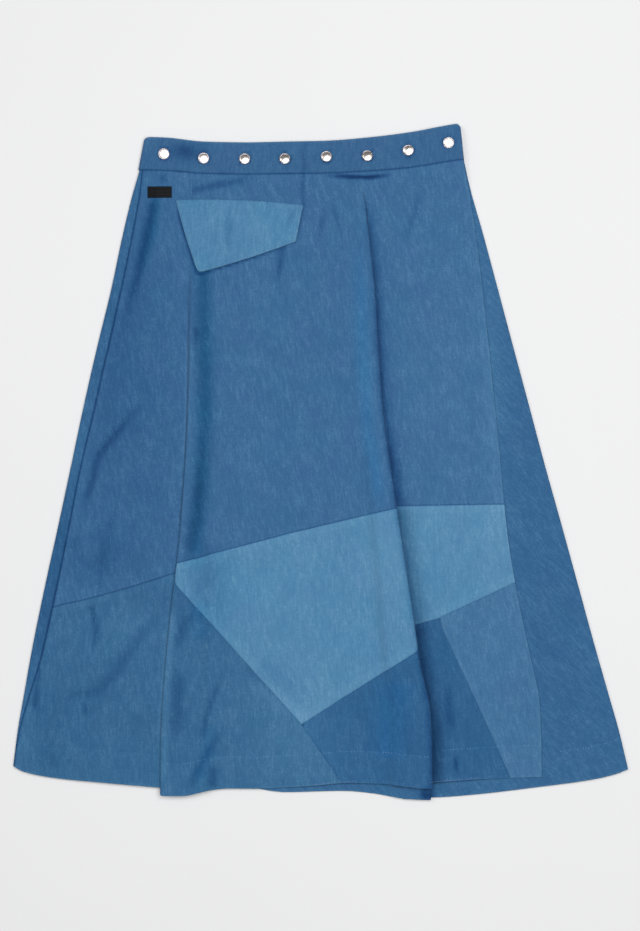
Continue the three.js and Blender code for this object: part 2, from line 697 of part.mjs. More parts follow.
// A snap's cap: a shallow dome with a rolled rim.
function snapCap() {
  const { radius, dome, rim, sides } = snap;
  const profile = [
    { out: 0, up: 0 },
    { out: radius - rim, up: 0 },
    { out: radius, up: rim * 0.6 },
    { out: radius - rim / 2, up: rim * 1.5 },
    { out: radius * 0.7, up: rim + dome * 0.6 },
    { out: radius * 0.35, up: rim + dome * 0.93 },
    { out: 0, up: rim + dome },
  ];
  const points = profile.map(({ out, up }) => new THREE.Vector2(out, up));
  return new THREE.LatheGeometry(points, sides).rotateX(Math.PI / 2);
}

const skirt = new THREE.Group();

function add(name, geometry, colour, finish = { roughness: 0.85, metalness: 0 }) {
  const mesh = new THREE.Mesh(geometry, new THREE.MeshStandardMaterial({ color: colours[colour], ...finish }));
  mesh.name = name;
  skirt.add(mesh);
  return mesh;
}

for (const [name, patch] of Object.entries(patches)) add(name, frontPatch(patch), patch.colour);

// The other two panels share the front's rows at the side seam, so that their edges run side by side.
const sideDown = upperSeam[0].down;
const rows = [
  ...steps(0, sideDown, patches.front_upper.rows),
  ...steps(sideDown, 1, patches.front_lower_left.rows).slice(1),
];
const whole = { from: 0, top: waist, low: hem, rows };
add("under_front", panel(underPoint, { ...whole, to: 5, ends: [0, 5], stations: stations.under }), "denim");
add("back_panel", panel(backPoint, { ...whole, to: 3, ends: [0, 3], stations: stations.back }), "denim");
add("waistband", waistband(), "denim");
add("pocket_flap", flap(), "lightDenim");
add("woven_label", wovenLabel(), "label", { roughness: 0.6, metalness: 0 });

snaps.forEach(({ across, y }, i) => {
  const cap = add("snap_" + (i + 1), snapCap(), "metal", { roughness: 0.2, metalness: 1 });
  cap.position.set(across, y, bandHeights.front + band.wall / 2 + seatGap);
});

export default skirt;
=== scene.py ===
import math
import bpy
import numpy as np
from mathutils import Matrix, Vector
from mathutils.bvhtree import BVHTree


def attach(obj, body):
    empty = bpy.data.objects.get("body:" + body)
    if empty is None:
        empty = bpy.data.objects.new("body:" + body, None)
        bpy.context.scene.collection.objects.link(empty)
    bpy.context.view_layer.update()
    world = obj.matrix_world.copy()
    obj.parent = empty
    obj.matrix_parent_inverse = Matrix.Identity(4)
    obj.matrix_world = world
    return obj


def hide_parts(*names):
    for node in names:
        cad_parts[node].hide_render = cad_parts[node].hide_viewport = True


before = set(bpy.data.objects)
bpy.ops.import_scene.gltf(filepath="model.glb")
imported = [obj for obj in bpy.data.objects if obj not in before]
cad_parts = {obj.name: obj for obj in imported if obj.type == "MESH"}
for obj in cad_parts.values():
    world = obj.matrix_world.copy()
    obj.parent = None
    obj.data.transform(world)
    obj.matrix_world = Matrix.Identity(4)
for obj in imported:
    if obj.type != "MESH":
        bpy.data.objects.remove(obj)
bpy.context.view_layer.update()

# A denim wrap skirt laid flat. Sizes are in millimetres up to the point where a mesh is made.
# Places are numbered along the cloth: "cloth" runs across it from seam to fold to edge, one number for
# each stretch, and "down" runs from 0 at the waist to 1 at the hem.
mm = 0.001

layers = dict(wall=0.9, backMiddle=0.5, step=1.4)  # one cloth wall, and how the walls are stacked
backHeight = layers["backMiddle"]
underHeight = backHeight + layers["step"]
frontHeight = underHeight + layers["step"]
bandHeights = dict(back=1.0, under=3.4, front=5.8)


def table(columns, *rows):
    return [dict(zip(columns.split(), row)) for row in rows]


def named(rows):
    return {row["name"]: row for row in rows}


outline = table("down left seamIn leftFold rightFold wrap right",
    (0.0, -203.0, 3.0, -147.2, 47.2, 160.8, 161.8), (0.05, -212.7, 8.5, -147.2, 50.9, 167.6, 169.6),
    (0.12, -223.8, 10.9, -147.2, 56.1, 175.5, 183.3), (0.2, -235.2, 11.1, -147.2, 61.9, 182.5, 198.1),
    (0.3, -251.6, 12.6, -147.6, 66.2, 190.1, 216.4), (0.4, -266.9, 12.7, -149.4, 71.8, 197.2, 234.9),
    (0.5, -281.1, 11.0, -153.4, 81.4, 204.2, 253.2), (0.6, -295.5, 12.4, -159.2, 91.8, 210.8, 272.4),
    (0.7, -310.3, 13.7, -167.6, 102.6, 221.9, 291.3), (0.8, -324.1, 12.7, -174.6, 112.9, 236.6, 310.2),
    (0.88, -333.7, 6.3, -178.3, 124.4, 247.6, 325.9), (0.94, -340.7, 1.8, -179.7, 125.9, 249.6, 337.6),
    (1.0, -345.8, 0.0, -179.8, 126.3, 250.0, 347.4),
)
leftTuck = table("down turn run low high drop",
    (0.0, 6, 2, 6, 6, 16), (0.1, 7, 2, 6, 6, 16), (0.17, 34, 3, 4.5, 4.5, 15), (0.27, 55, 3, 3.2, 3.2, 14),
    (0.365, 60, 2.4, 2.4, 2.8, 14), (0.445, 75, 2.0, 2.0, 2.4, 13), (0.525, 120, 2.4, 1.2, 2.0, 12),
    (0.58, 180, 10, 0.7, 1.8, 12), (0.64, 180, 19, 0.7, 1.8, 13), (0.81, 180, 27, 0.7, 1.8, 16),
    (1.0, 180, 34, 0.7, 1.8, 18),
)
rightTuck = table("down turn run low high drop",
    (0.0, 8, 2, 6, 6, 18), (0.05, 50, 2, 3, 3, 18), (0.12, 110, 1.2, 1.3, 2.2, 20),
    (0.2, 165, 3, 0.9, 1.9, 22), (0.28, 180, 6, 0.7, 1.8, 24), (0.45, 180, 11, 0.7, 1.8, 26),
    (0.6, 180, 17, 0.7, 1.8, 26), (0.8, 180, 25, 0.7, 1.8, 24), (1.0, 180, 32, 0.7, 1.8, 22),
)
underTuck = table("down turn run low high drop",
    (0.0, 6, 2, 6, 6, 8), (0.5, 7, 2, 6, 6, 8), (0.56, 60, 1, 1.2, 1.2, 10),
    (0.61, 120, 0.4, 0.75, 0.75, 12), (0.66, 180, 6, 0.7, 0.7, 14), (0.8, 180, 23, 0.7, 0.7, 14),
    (1.0, 180, 30, 0.7, 0.7, 14),
)
foldSag = dict(front=0.25, under=0.0)  # how far a fold's top sinks past its tuck
foldRest = dict(left=8.0, right=3.0, under=2.5)  # a fold's top stays up for this far past its tuck
arcShare = 0.4  # of a fold's numbering goes to each of its arcs
underFoldIn = 1.5  # the fold under the front lies this far inside the right fold
# the front is lifted where it lies over the fold beneath, and near its sides
overUnderFold = dict(height=3.6, start=0.4, full=0.52, margin=8, past=3, soft=12)
sidePuff = dict(height=1.0, clear=2, width=18, leftFull=0.06, rightFrom=0.12, rightFull=0.3)
underEdge = dict(waist=-190.0, hem=-250.0)
rightSeamIn = 12.0  # the right seam is behind, this far in from the side
riseToBand = 0.06  # the cloth rises to the band over this share of its length

bandLine = table("across y lean height",
    (-202.0, 348.0, 11, 37.1), (-176.6, 347.4, 7, 36.4), (-131.4, 343.4, 4, 35.0), (-85.0, 342.5, 2, 34.9),
    (-39.8, 343.2, 0, 35.3), (7.2, 344.0, -1, 35.6), (53.4, 347.0, -2, 36.8), (99.4, 351.7, -4, 38.5),
    (144.6, 359.4, -6, 39.5), (162.0, 362.1, -6, 40.1),
)
frontHem = table("cloth y",
    (0, -342.6), (0.064, -349.4), (0.26, -357.1), (0.48, -361.2), (0.82, -367.2), (1, -370.2), (2, -375.9),
    (2.07, -376.3), (2.18, -370.2), (2.25, -368.2), (2.33, -368.4), (2.56, -365.2), (2.68, -361.9),
    (2.83, -363.0), (3, -367.5), (4, -363.6), (4.25, -361.2), (4.6, -357.5), (5, -355.4),
)
underHem = table("cloth y",
    (0, -352.6), (0.19, -358.3), (0.34, -362.9), (0.46, -367.4), (0.56, -372.5), (0.74, -371.0),
    (0.81, -373.0), (0.94, -380.2), (1, -381.0), (2, -379.2), (2.14, -378.5), (2.29, -375.9),
    (2.6, -366.9), (2.83, -358.9), (2.93, -353.6), (2.975, -350.0), (3, -347.4), (4, -346.4), (5, -350.0),
)
backHem = table("across y",
    (-346.6, -342.4), (-333, -349.4), (-294, -354.4), (-180, -361.5), (-20, -364.5), (124, -369.0),
    (246, -361.5), (334, -350.0), (347, -346.0),
)
corner = dict(lightTip=1.86, lightFoot=2.52, darkFoot=2.671, slantTop=4.353, slantFoot=4.779)
upperSeam = table("cloth down",
    (0, 0.734), (0.064, 0.7215), (0.26, 0.7027), (0.5, 0.6826), (1, 0.6375), (2, 0.6265), (2.5, 0.5865),
    (3, 0.5465), (4, 0.5465), (5, 0.5585),
)
lightSeam = table("cloth down",
    (1.8, 0.643), (2, 0.6615), (corner["lightFoot"], 0.899), (3, 0.7785), (4, 0.749),
    (corner["slantTop"], 0.7345), (5, 0.6853),
)
leftSlant = [dict(cloth=corner["lightFoot"], down=0.899), dict(cloth=corner["darkFoot"], down=1.0)]
rightSlant = [dict(cloth=corner["slantTop"], down=0.7345), dict(cloth=corner["slantFoot"], down=1.0)]
clothLength = 700.0  # from the waist seam to the hem


def smoothStep(x, low, high):
    s = np.clip((x - low) / (high - low), 0.0, 1.0)
    return s * s * (3 - 2 * s)


def mix(a, b, share):
    return a + (b - a) * share


def stretch(cloth, number):
    return np.clip(cloth - number, 0, 1)


def joined(*parts):
    return np.stack(parts, axis=-1)


def bell(x, width):
    return np.exp(-(x / width) ** 2)


def spot(x, y, wide, high):
    return np.exp(-(x / wide) ** 2 - (y / high) ** 2)


def smoothColumn(rows, along, key):
    at, value = (np.array([row[column] for row in rows], float) for column in (along, key))
    slope = np.diff(value) / np.diff(at)
    before, after = np.concatenate([slope[:1], slope]), np.concatenate([slope, slope[-1:]])
    total = np.where(before * after > 0, before + after, 1.0)
    tangent = np.where(before * after > 0, 2 * before * after / total, 0.0)

    def curve(x):
        x = np.clip(x, at[0], at[-1])
        i = np.clip(np.searchsorted(at, x, side="right") - 1, 0, len(at) - 2)
        width = at[i + 1] - at[i]
        s = (x - at[i]) / width
        bend = s * (1 - s) * width * (tangent[i] * (1 - s) - tangent[i + 1] * s)
        ease = s * s * (3 - 2 * s)
        return value[i] * (1 - ease) + value[i + 1] * ease + bend

    return curve


def smoothColumns(rows, along):
    return {key: smoothColumn(rows, along, key) for key in rows[0]}


edge = smoothColumns(outline, "down")
bandAt = smoothColumns(bandLine, "across")
hemY = dict(front=smoothColumn(frontHem, "cloth", "y"), under=smoothColumn(underHem, "cloth", "y"),
            back=smoothColumn(backHem, "across", "y"))
tucks = {name: smoothColumns(rows, "down") for name, rows in
         dict(left=leftTuck, right=rightTuck, under=underTuck).items()}


def foldAt(name, down):
    fold = {key: tucks[name][key](down) for key in ("run", "low", "high", "drop", "turn")}
    fold["turn"] = np.radians(fold["turn"])
    both = fold["low"] + fold["high"]
    fold["width"] = both * np.sin(fold["turn"]) + fold["run"] * np.cos(fold["turn"])
    fold["height"] = both * (1 - np.cos(fold["turn"])) + fold["run"] * np.sin(fold["turn"])
    fold["rest"] = foldRest[name]
    return fold


def foldPoint(fold, share):
    turn = fold["turn"]
    arc = np.clip(share / arcShare, 0, 1) * turn
    run = np.clip((share - arcShare) / (1 - 2 * arcShare), 0, 1) * fold["run"]
    back = np.where(share > 1 - arcShare, (1 - share) / arcShare * turn, turn)
    across = fold["low"] * np.sin(arc) + run * np.cos(turn) + fold["high"] * (np.sin(turn) - np.sin(back))
    up = fold["low"] * (1 - np.cos(arc)) + run * np.sin(turn) + fold["high"] * (np.cos(back) - np.cos(turn))
    return across, up


def topKept(fold, distance, sagShare):
    tuck = np.maximum(0, -np.cos(fold["turn"])) * (fold["run"] + fold["low"]) + fold["rest"]
    sag = 1 - sagShare * smoothStep(distance, 0, tuck)
    return sag * (1 - smoothStep(distance, tuck, tuck + fold["drop"]))


def baseAt(down, height, underBand):
    return height + (underBand - height) * (1 - smoothStep(down, 0, riseToBand))


def puffAt(fromSide, share):
    return sidePuff["height"] * share * (1 - smoothStep(fromSide, sidePuff["clear"], sidePuff["width"]))


def underBase(x, down):
    share = smoothStep(down, sidePuff["rightFrom"], sidePuff["rightFull"])
    puff = puffAt(edge["right"](down) - x, share)
    return baseAt(down, underHeight, bandHeights["under"]) + puff


def frontBase(x, down):
    puff = puffAt(x - edge["left"](down), smoothStep(down, 0, sidePuff["leftFull"]))
    over = overUnderFold
    fold = edge["rightFold"](down)
    start = fold - tucks["right"]["run"](down) - over["margin"]
    finish = fold + over["past"]
    rise = smoothStep(x, start - over["soft"], start) * (1 - smoothStep(x, finish, finish + over["soft"]))
    lift = over["height"] * smoothStep(down, over["start"], over["full"]) * rise
    return baseAt(down, frontHeight, bandHeights["front"]) + puff + lift


def leftRadius(down):
    return (frontBase(edge["left"](down), down) - backHeight) / 2


def alongFor(inward, radius):
    turned = radius * np.arccos(np.clip(1 - inward / radius, -1, 1))
    return np.where(inward < radius, turned, math.pi / 2 * radius + inward - radius)


def leftTurn(along, down):
    radius = leftRadius(down)
    quarter = math.pi / 2 * radius
    side = edge["left"](down)
    flat = along >= quarter
    xFlat = side + radius + along - quarter
    x = np.where(flat, xFlat, side + radius * (1 - np.cos(along / radius)))
    z = np.where(flat, frontBase(xFlat, down), backHeight + radius + radius * np.sin(along / radius))
    return x, z


def frontSection(cloth, down):
    left, right = foldAt("left", down), foldAt("right", down)
    crestLeft = edge["leftFold"](down) + left["high"]
    crestRight = edge["rightFold"](down) - right["high"]
    toeLeft, toeRight = crestLeft - left["width"], crestRight + right["width"]
    radius = leftRadius(down)
    start = alongFor(edge["seamIn"](down), radius)
    finish = alongFor(toeLeft - edge["left"](down), radius)
    sideX, sideZ = leftTurn(mix(start, finish, stretch(cloth, 0)), down)
    inLeft, upLeft = foldPoint(left, stretch(cloth, 1))
    middleX = mix(crestLeft, crestRight, stretch(cloth, 2))
    keptLeft = left["height"] * topKept(left, middleX - crestLeft, foldSag["front"])
    keptRight = right["height"] * topKept(right, crestRight - middleX, foldSag["front"])
    inRight, upRight = foldPoint(right, np.clip(4 - cloth, 0, 1))
    lapX = mix(toeRight, edge["wrap"](down), stretch(cloth, 4))
    part = [cloth <= 1, cloth < 2, cloth <= 3, cloth < 4]
    x = np.select(part, [sideX, toeLeft + inLeft, middleX, toeRight - inRight], lapX)
    z = np.select(part, [
        sideZ,
        frontBase(toeLeft, down) + upLeft,
        frontBase(middleX, down) + keptLeft + keptRight,
        frontBase(toeRight, down) + upRight,
    ], frontBase(lapX, down))
    return x, z


def underSection(cloth, down):
    fold = foldAt("under", down)
    crest = edge["rightFold"](down) - underFoldIn - fold["high"]
    toe = crest + fold["width"]
    side = edge["right"](down)
    radius = (underBase(side, down) - backHeight) / 2
    freeX = mix(mix(underEdge["waist"], underEdge["hem"], down), crest, stretch(cloth, 0))
    inward, up = foldPoint(fold, np.clip(2 - cloth, 0, 1))
    lapX = mix(toe, side - radius, stretch(cloth, 2))
    angle = math.pi * stretch(cloth, 3)
    seamX = mix(side - radius, side - rightSeamIn, stretch(cloth, 4))
    part = [cloth <= 1, cloth < 2, cloth <= 3, cloth <= 4]
    x = np.select(part, [freeX, toe - inward, lapX, side - radius + radius * np.sin(angle)], seamX)
    z = np.select(part, [
        underBase(freeX, down) + fold["height"] * topKept(fold, crest - freeX, foldSag["under"]),
        underBase(toe, down) + up,
        underBase(lapX, down),
        backHeight + radius + radius * np.cos(angle),
    ], backHeight)
    return x, z


def backSection(cloth, down):
    radius = leftRadius(down)
    quarter = math.pi / 2 * radius
    start = alongFor(edge["seamIn"](down), radius) - 0.1
    turnFrom = np.minimum(quarter, start - 1)
    topX, topZ = leftTurn(mix(start, turnFrom, stretch(cloth, 0)), down)
    turnX, turnZ = leftTurn(mix(turnFrom, -quarter, stretch(cloth, 1)), down)
    flatEnd = edge["right"](down) - rightSeamIn - 0.1
    flatX = mix(edge["left"](down) + radius, flatEnd, stretch(cloth, 2))
    part = [cloth <= 1, cloth <= 2]
    return np.select(part, [topX, turnX], flatX), np.select(part, [topZ, turnZ], backHeight)


def waistSeamY(across):
    x = across
    for _ in range(4):
        x = across + bandAt["height"](x) / 2 * np.sin(np.radians(bandAt["lean"](x)))
    return bandAt["y"](x) - bandAt["height"](x) / 2 * np.cos(np.radians(bandAt["lean"](x))) - 0.15


def planAt(cloth, down):
    cloth, down = np.broadcast_arrays(np.atleast_1d(float(cloth)), np.atleast_1d(down))
    waistY = waistSeamY(frontSection(cloth, np.zeros_like(down))[0])
    return joined(frontSection(cloth, down)[0], mix(waistY, hemY["front"](cloth), down))


def straightInPlan(rows, steps=8, swing=0.05):
    # between two rows on the same flat part, "down" is found so that the seam is straight seen from above
    dense = []
    for a, b in zip(rows, rows[1:]):
        dense.append(a)
        middle = (a["cloth"] + b["cloth"]) / 2
        if not (2 < middle < 3 or 4 < middle < 5):
            continue
        p, q = planAt(a["cloth"], a["down"]), planAt(b["cloth"], b["down"])
        ux, uy = (q - p)[0]
        for share in np.linspace(0, 1, steps + 1)[1:-1]:
            cloth, guess = mix(a["cloth"], b["cloth"], share), mix(a["down"], b["down"], share)
            tries = np.linspace(guess - swing, min(guess + swing, 1.0), 81)
            off = (planAt(cloth, tries) - p) @ (uy, -ux)
            order = np.argsort(off)
            dense.append(dict(cloth=cloth, down=float(np.interp(0, off[order], tries[order]))))
    return dense + [rows[-1]]


def seamLine(rows):
    rows = straightInPlan(rows)
    return lambda cloth: np.interp(cloth, [row["cloth"] for row in rows], [row["down"] for row in rows])


seamAt = {name: seamLine(rows) for name, rows in
          dict(upper=upperSeam, light=lightSeam, leftSlant=leftSlant, rightSlant=rightSlant).items()}


# Soft forms of the lying cloth: a little air under it, slow unevenness, and the listed creases.
softCloth = dict(air=1.3, waves=46, longest=230.0, shortest=70.0, roll=0.62, lean=0.6, crossing=0.25, seed=11)
# Each crease also paints along its path: its tone is painted shade (below zero, painted light), its cast
# shadow is painted, and teal and blue are painted tints of shade. Creases with no depth are only painted
# shade and shadow.
creases = table("name part width depth tone ends path cast teal blue",
    ("sideTrough", "side", 5.6, 1.2, 0.85, (0.02, 0.8), [(-188, 292.5), (-192.5, 266.5), (-199, 239.5),
     (-206, 208), (-215, 178.5), (-227.5, 132)]),
    ("flapCorner", "middle", 4, 0.6, 0.5, (0.2, 0.4), [(-158.5, 300.5), (-129, 309.5), (-99.5, 315.5),
     (-68, 323)]),
    ("labelSmudge", "side", 5, 0.4, 0.4, (0.3, 0.3), [(-183.5, 317.5), (-170, 321)]),
    ("waistDart", "middle", 2.4, 0.6, 0.5, (0.02, 0.4), [(-18.5, 327.5), (-19.5, 309.5), (-18.5, 290.5),
     (-23, 266.5), (-27.5, 248.5)]),
    ("waistPinch", "", 2.0, 0.5, 1.9, (0.4, 0.3), [(6, 323), (36, 321.5), (56, 321), (80, 324)]),
    ("midTrough", "middle", 3.2, 0.5, 0.28, (0.3, 0.3), [(4, 287), (1, 260), (-2.5, 243)]),
    ("midThin", "middle", 2.5, 0.3, 0.28, (0.3, 0.4), [(9, 304), (18, 280), (25.5, 248.5)]),
    ("underFlap", "middle", 3.4, 0.5, 0.55, (0.02, 0.5), [(-42, 246.5), (-44.5, 226), (-47.5, 200)]),
    ("besideRidge", "middle", 9, 1, 0.22, (0.02, 0.06), [(-130, 217), (-131.5, 183), (-132.5, 138),
     (-129, 87), (-129, 42), (-131.5, 2.5), (-135, -34), (-139.5, -65.5), (-147, -106)], 0.17),
    ("ridgeNotch", "middle", 3.5, 0.4, 0.4, (0.3, 0.3), [(-139.5, 155), (-140.5, 132)]),
    ("ridgeLow", "middle", 8.5, 0.4, 0.14, (0.35, 0.06), [(-131.5, 25), (-135, -20.5), (-140.5, -60),
     (-148.5, -103)], 0.06),
    ("ridgeFoot", "", 1.4, 0.3, -0.25, (0.2, 0.5), [(-149.5, 149), (-150.5, 92.5), (-151.5, 36),
     (-154, 2.5), (-158.5, -48.5), (-162, -94)]),
    ("leftDiagonal", "side", 4.4, 0.8, 0.62, (0.4, 0.2), [(-201.5, 66.5), (-217, 47.5), (-233, 28),
     (-249, 8), (-257, -20.5), (-266, -51)]),
    ("leftFaint", "side", 5.5, 0.4, 0.22, (0.3, 0.3), [(-228.5, -52), (-240, -81.5), (-245.5, -110.5),
     (-248, -144.5)]),
    ("leftSmudge", "side", 7, 0.3, 0.25, (0.3, 0.3), [(-273.5, -82.5), (-280.5, -101.5)]),
    ("patchPucker", "side", 2.8, 0.6, 0.65, (0.1, 0.4), [(-259, -160.5), (-254.5, -178.5),
     (-252.5, -197.5), (-255.5, -214.5)]),
    ("patchDiagonal", "side", 6.5, 0.9, 0.3, (0.3, 0.05), [(-179, -160.5), (-192.5, -184), (-210.5, -207),
     (-227.5, -233), (-248, -257.5), (-283, -266.5)]),
    ("patchNick", "side", 2.6, 0.3, 0.4, (0.3, 0.3), [(-267, -269), (-262.5, -287)]),
    ("lowLeftSoft", "side", 12, 0.5, 0.2, (0.3, 0.3), [(-303, -312), (-305.5, -350.5)]),
    ("sideTuck", "side", 3, 0.7, 0.55, (0.5, 0.1), [(-311, -214.5), (-318, -246.5), (-322.5, -280)]),
    ("atPleat", "side", 4.5, 0.5, 0.1, (0.3, 0.3), [(-172, -142.5), (-179, -156), (-183.5, -172)]),
    ("pleatTop", "middle", 5, 0.6, 0.4, (0.3, 0.3), [(-138, -168.5), (-154, -182), (-160.5, -212.5)]),
    ("pleatTrough", "middle", 8, 0.8, 0.4, (0.3, 0.3), [(-158.5, -228.5), (-160.5, -257.5), (-160.5, -286),
     (-167.5, -316.5)]),
    ("pleatThin", "middle", 2.8, 0.5, 0.5, (0.3, 0.3), [(-111, -237.5), (-120, -264.5), (-128, -287),
     (-135, -318.5)]),
    ("pleatDiagonal", "middle", 4.6, 0.8, 0.42, (0.3, 0.2), [(-109, -300.5), (-121, -320), (-136, -343.5),
     (-147, -370.5)]),
    ("hemDip", "middle", 5, 0.5, 0.5, (0.3, 0.1), [(-120, -342.5), (-121, -367)]),
    ("foldEdge", "middle", 3.2, 0, 0.5, (0.3, 0.02), [(51, 285), (57.5, 228), (61.5, 183), (64.3, 138),
     (69.4, 70), (78.4, 2), (87.5, -65), (99, -133), (109, -201), (120.3, -269), (125, -310), (125, -370)]),
    ("foldCore", "lap", 2.4, 0, 0.68, (0.4, 0.02), [(47.5, 300), (52.8, 273.5), (59, 228.3), (63, 183.1),
     (65.8, 137.9), (70.9, 70.1), (79.9, 2.3), (86.8, -48)]),
    ("foldTail", "lap", 7, 0, 0.38, (0.1, 0.02), [(50, 300), (55.3, 273.5), (61.5, 228.3), (65.5, 183.1),
     (68.3, 137.9), (73.4, 70.1), (83, 2.3), (89.5, -48)]),
    ("foldTailMiddle", "lap", 5, 0, 0.35, (0.5, 0.02), [(78, 36), (83, 2.3), (90, -48)]),
    ("lightFoldCore", "lap", 3.2, 0, 0.5, (0.02, 0.02), [(88, -52), (100.5, -133), (108.5, -183)], 0.18),
    ("lightFoldTail", "lap", 11, 0, 0.38, (0.02, 0.02), [(92, -54), (104, -133), (112, -180)], 0.17),
    ("lowFoldCore", "lap", 2.6, 0, 0.3, (0.02, 0.02), [(108.5, -186), (110.5, -201), (121.8, -269),
     (127, -305), (127.5, -336), (126.8, -370)], 0.22, 0, 0.15),
    ("lowFoldTail", "lap", 8.5, 0, 0.45, (0.02, 0.02), [(111, -186), (113, -205), (123.5, -269),
     (130, -305), (131, -336), (130.5, -370)], 0.32),
    ("pleatSeam", "", 1.2, 0, -0.35, (0.05, 0.02), [(-166.2, -140), (-170.2, -178.5), (-175.2, -223.7),
     (-177.5, -269), (-180.1, -314), (-181.4, -353.7)]),
    ("pleatLight", "middle", 4.5, 0, -0.28, (0.05, 0.02), [(-165.8, -167.2), (-168.7, -201),
     (-170.9, -223.7), (-172, -269), (-174.3, -314), (-175.4, -353.7)]),
    ("ridgeLight", "middle", 5, 0, -0.14, (0.1, 0.1), [(-145.8, 149), (-146.5, 70), (-147, 0),
     (-150.5, -43), (-155, -88), (-160, -125)]),
    ("lapFaint", "lap", 3.5, 0.3, 0.22, (0.3, 0.3), [(113.9, 307.4), (105.9, 279.1), (95.8, 247.5)]),
    ("underFlapEdge", "", 1.5, 0, 0.9, (0.1, 0.25), [(-163.4, 292), (-151, 250), (-139.3, 213.5),
     (-136.5, 211.4), (-80, 229.3), (-27, 246.8)]),
    ("besideFold", "lap", 5, 0.5, 0.45, (0.3, 0.3), [(145.5, -248.5), (144.5, -273.5), (149, -309.5)]),
    ("hemPinch", "lap", 1.4, 0.4, 0.75, (0.4, 0.05), [(152.5, -327.5), (155.5, -358)]),
    ("slantDull", "middle", 14, 0, 0.17, (0.5, 0.3), [(-88, -208), (-60, -234), (-25, -262), (8, -270)]),
    ("slantFaded", "middle", 7, 0, -0.25, (0.3, 0.2), [(-78, -246), (-60, -263), (-48, -275), (-40, -286)]),
    ("leftTeal", "", 9, 0, 0.03, (0.02, 0.03), [(-136, 265), (-132.5, 251), (-131, 183), (-129, 93),
     (-131.5, 25), (-136, -43), (-141, -106)], 0, 0.32, 0.1),
    ("labelTeal", "", 6, 0, 0, (0.05, 0.5), [(-184.5, 302), (-189, 262), (-200, 226),
     (-211.5, 192)], 0, 0.34),
    ("rightBlue", "middle", 9, 0, -0.1, (0.3, 0.1), [(41.5, 279), (45.5, 206), (48, 127), (54, 36),
     (66, -32), (70, -58)], 0, 0, 0.27),
    ("darkBlue", "middle", 18, 0, 0, (0.1, 0.1), [(86, -245), (82, -280), (77, -337)], 0, 0, 0.28),
    ("apexBlue", "", 11, 0, 0, (0.2, 0.2), [(-140.5, -156), (-132.5, -201)], 0, 0, 0.18),
    ("hemBlue", "middle", 8, 0, 0, (0.2, 0.1), [(-122, -295), (-128, -330), (-138, -362)], 0, 0, 0.22),
)
ridgeShare, ridgeAway = 0.5, 1.7  # the ridge beside a trough: its share of the depth, its distance in widths


def slowWaves():
    rng = np.random.default_rng(softCloth["seed"])
    count = softCloth["waves"]
    length = np.exp(rng.uniform(*np.log([softCloth["shortest"], softCloth["longest"]]), count))
    angle = rng.uniform(-softCloth["lean"], softCloth["lean"], count)
    angle += np.where(rng.random(count) < softCloth["crossing"], math.pi / 2, 0)
    phase = rng.uniform(0, 2 * math.pi, count)
    size = length / softCloth["longest"] * softCloth["roll"] * math.sqrt(2 / count) * 2.2
    return length, angle, phase, size


waveTable = slowWaves()


def unevenness(x, y):
    total = np.zeros_like(x)
    for length, angle, phase, size in zip(*waveTable):
        total += size * np.sin(2 * math.pi / length * (x * math.cos(angle) + y * math.sin(angle)) + phase)
    return total


clothParts = dict(side=(-1, 1.6), middle=(1.4, 3.45), lap=(3.3, 6))  # from and to, in cloth numbers


def creaseField(cloth, x, y, key):
    total = np.zeros_like(x)
    for crease in creases:
        if not crease.get(key):
            continue
        first, last = clothParts.get(crease["part"], (-1, 6))
        here = (cloth >= first) & (cloth <= last)
        path = crease["path"]
        nearest, side, along = np.full(x.shape, 1e9), np.zeros_like(x), np.zeros_like(x)
        lengths = [math.dist(a, b) for a, b in zip(path, path[1:])]
        whole, passed = sum(lengths), 0.0
        for (ax, ay), (bx, by), length in zip(path, path[1:], lengths):
            ux, uy = (bx - ax) / length, (by - ay) / length
            s = np.clip((x - ax) * ux + (y - ay) * uy, 0, length)
            dx, dy = x - ax - s * ux, y - ay - s * uy
            distance = np.hypot(dx, dy)
            closer = distance < nearest
            nearest = np.where(closer, distance, nearest)
            side = np.where(closer, np.sign(dx * uy - dy * ux) * distance, side)
            along = np.where(closer, (passed + s) / whole, along)
            passed += length
        grow, die = crease["ends"]  # the shares of its length over which it grows and dies away
        fade = 0.1 + 0.9 * smoothStep(along, -0.02, grow) * (1 - smoothStep(along, 1 - die, 1.02))
        trough = bell(nearest, crease["width"])
        if key != "depth":
            total += crease[key] * fade * trough * here
            continue
        ridge = bell(side + ridgeAway * crease["width"], crease["width"])
        ridge *= bell(np.maximum(nearest - np.abs(side), 0), crease["width"])
        total -= crease["depth"] * fade * (trough - ridgeShare * ridge) * here
    return total


# Slow changes of tone, partly washed dye and partly painted shade, such as the darker left panel, the shade
# beside the pleat's apex and the painted shadow where the right fold meets the hem: a middle, two half widths
# and how much darker (or, below zero, lighter).
dyeAndShadeSpots = table("name x y wide high more",
    ("leftPanel", -225, 110, 62, 230, 0.28), ("aboveSeam", -243, -112, 42, 26, 0.22),
    ("frontRight", 150, 80, 60, 240, -0.1), ("lapEdge", 195, 60, 14, 250, -0.12),
    ("apex", -127, -140, 25, 38, 0.38), ("lowMiddle", -28, -315, 55, 50, -0.25),
    ("byFold", 80, -112, 26, 38, -0.15), ("patchTop", -215, -185, 36, 42, -0.2),
    ("sideLow", -328, -314, 10, 28, -0.08), ("lowStrip", -298, -292, 24, 24, 0.13),
    ("slantSide", -92, -258, 36, 34, -0.1), ("foldMouth", 121, -376, 4.6, 7.5, 1.9),
)


# the painted shade of the creases together with the slow tone spots
def dyeAndShadeTone(cloth, x, y):
    total = creaseField(cloth, x, y, "tone")
    for place in dyeAndShadeSpots:
        total += place["more"] * spot(x - place["x"], y - place["y"], place["wide"], place["high"])
    return total


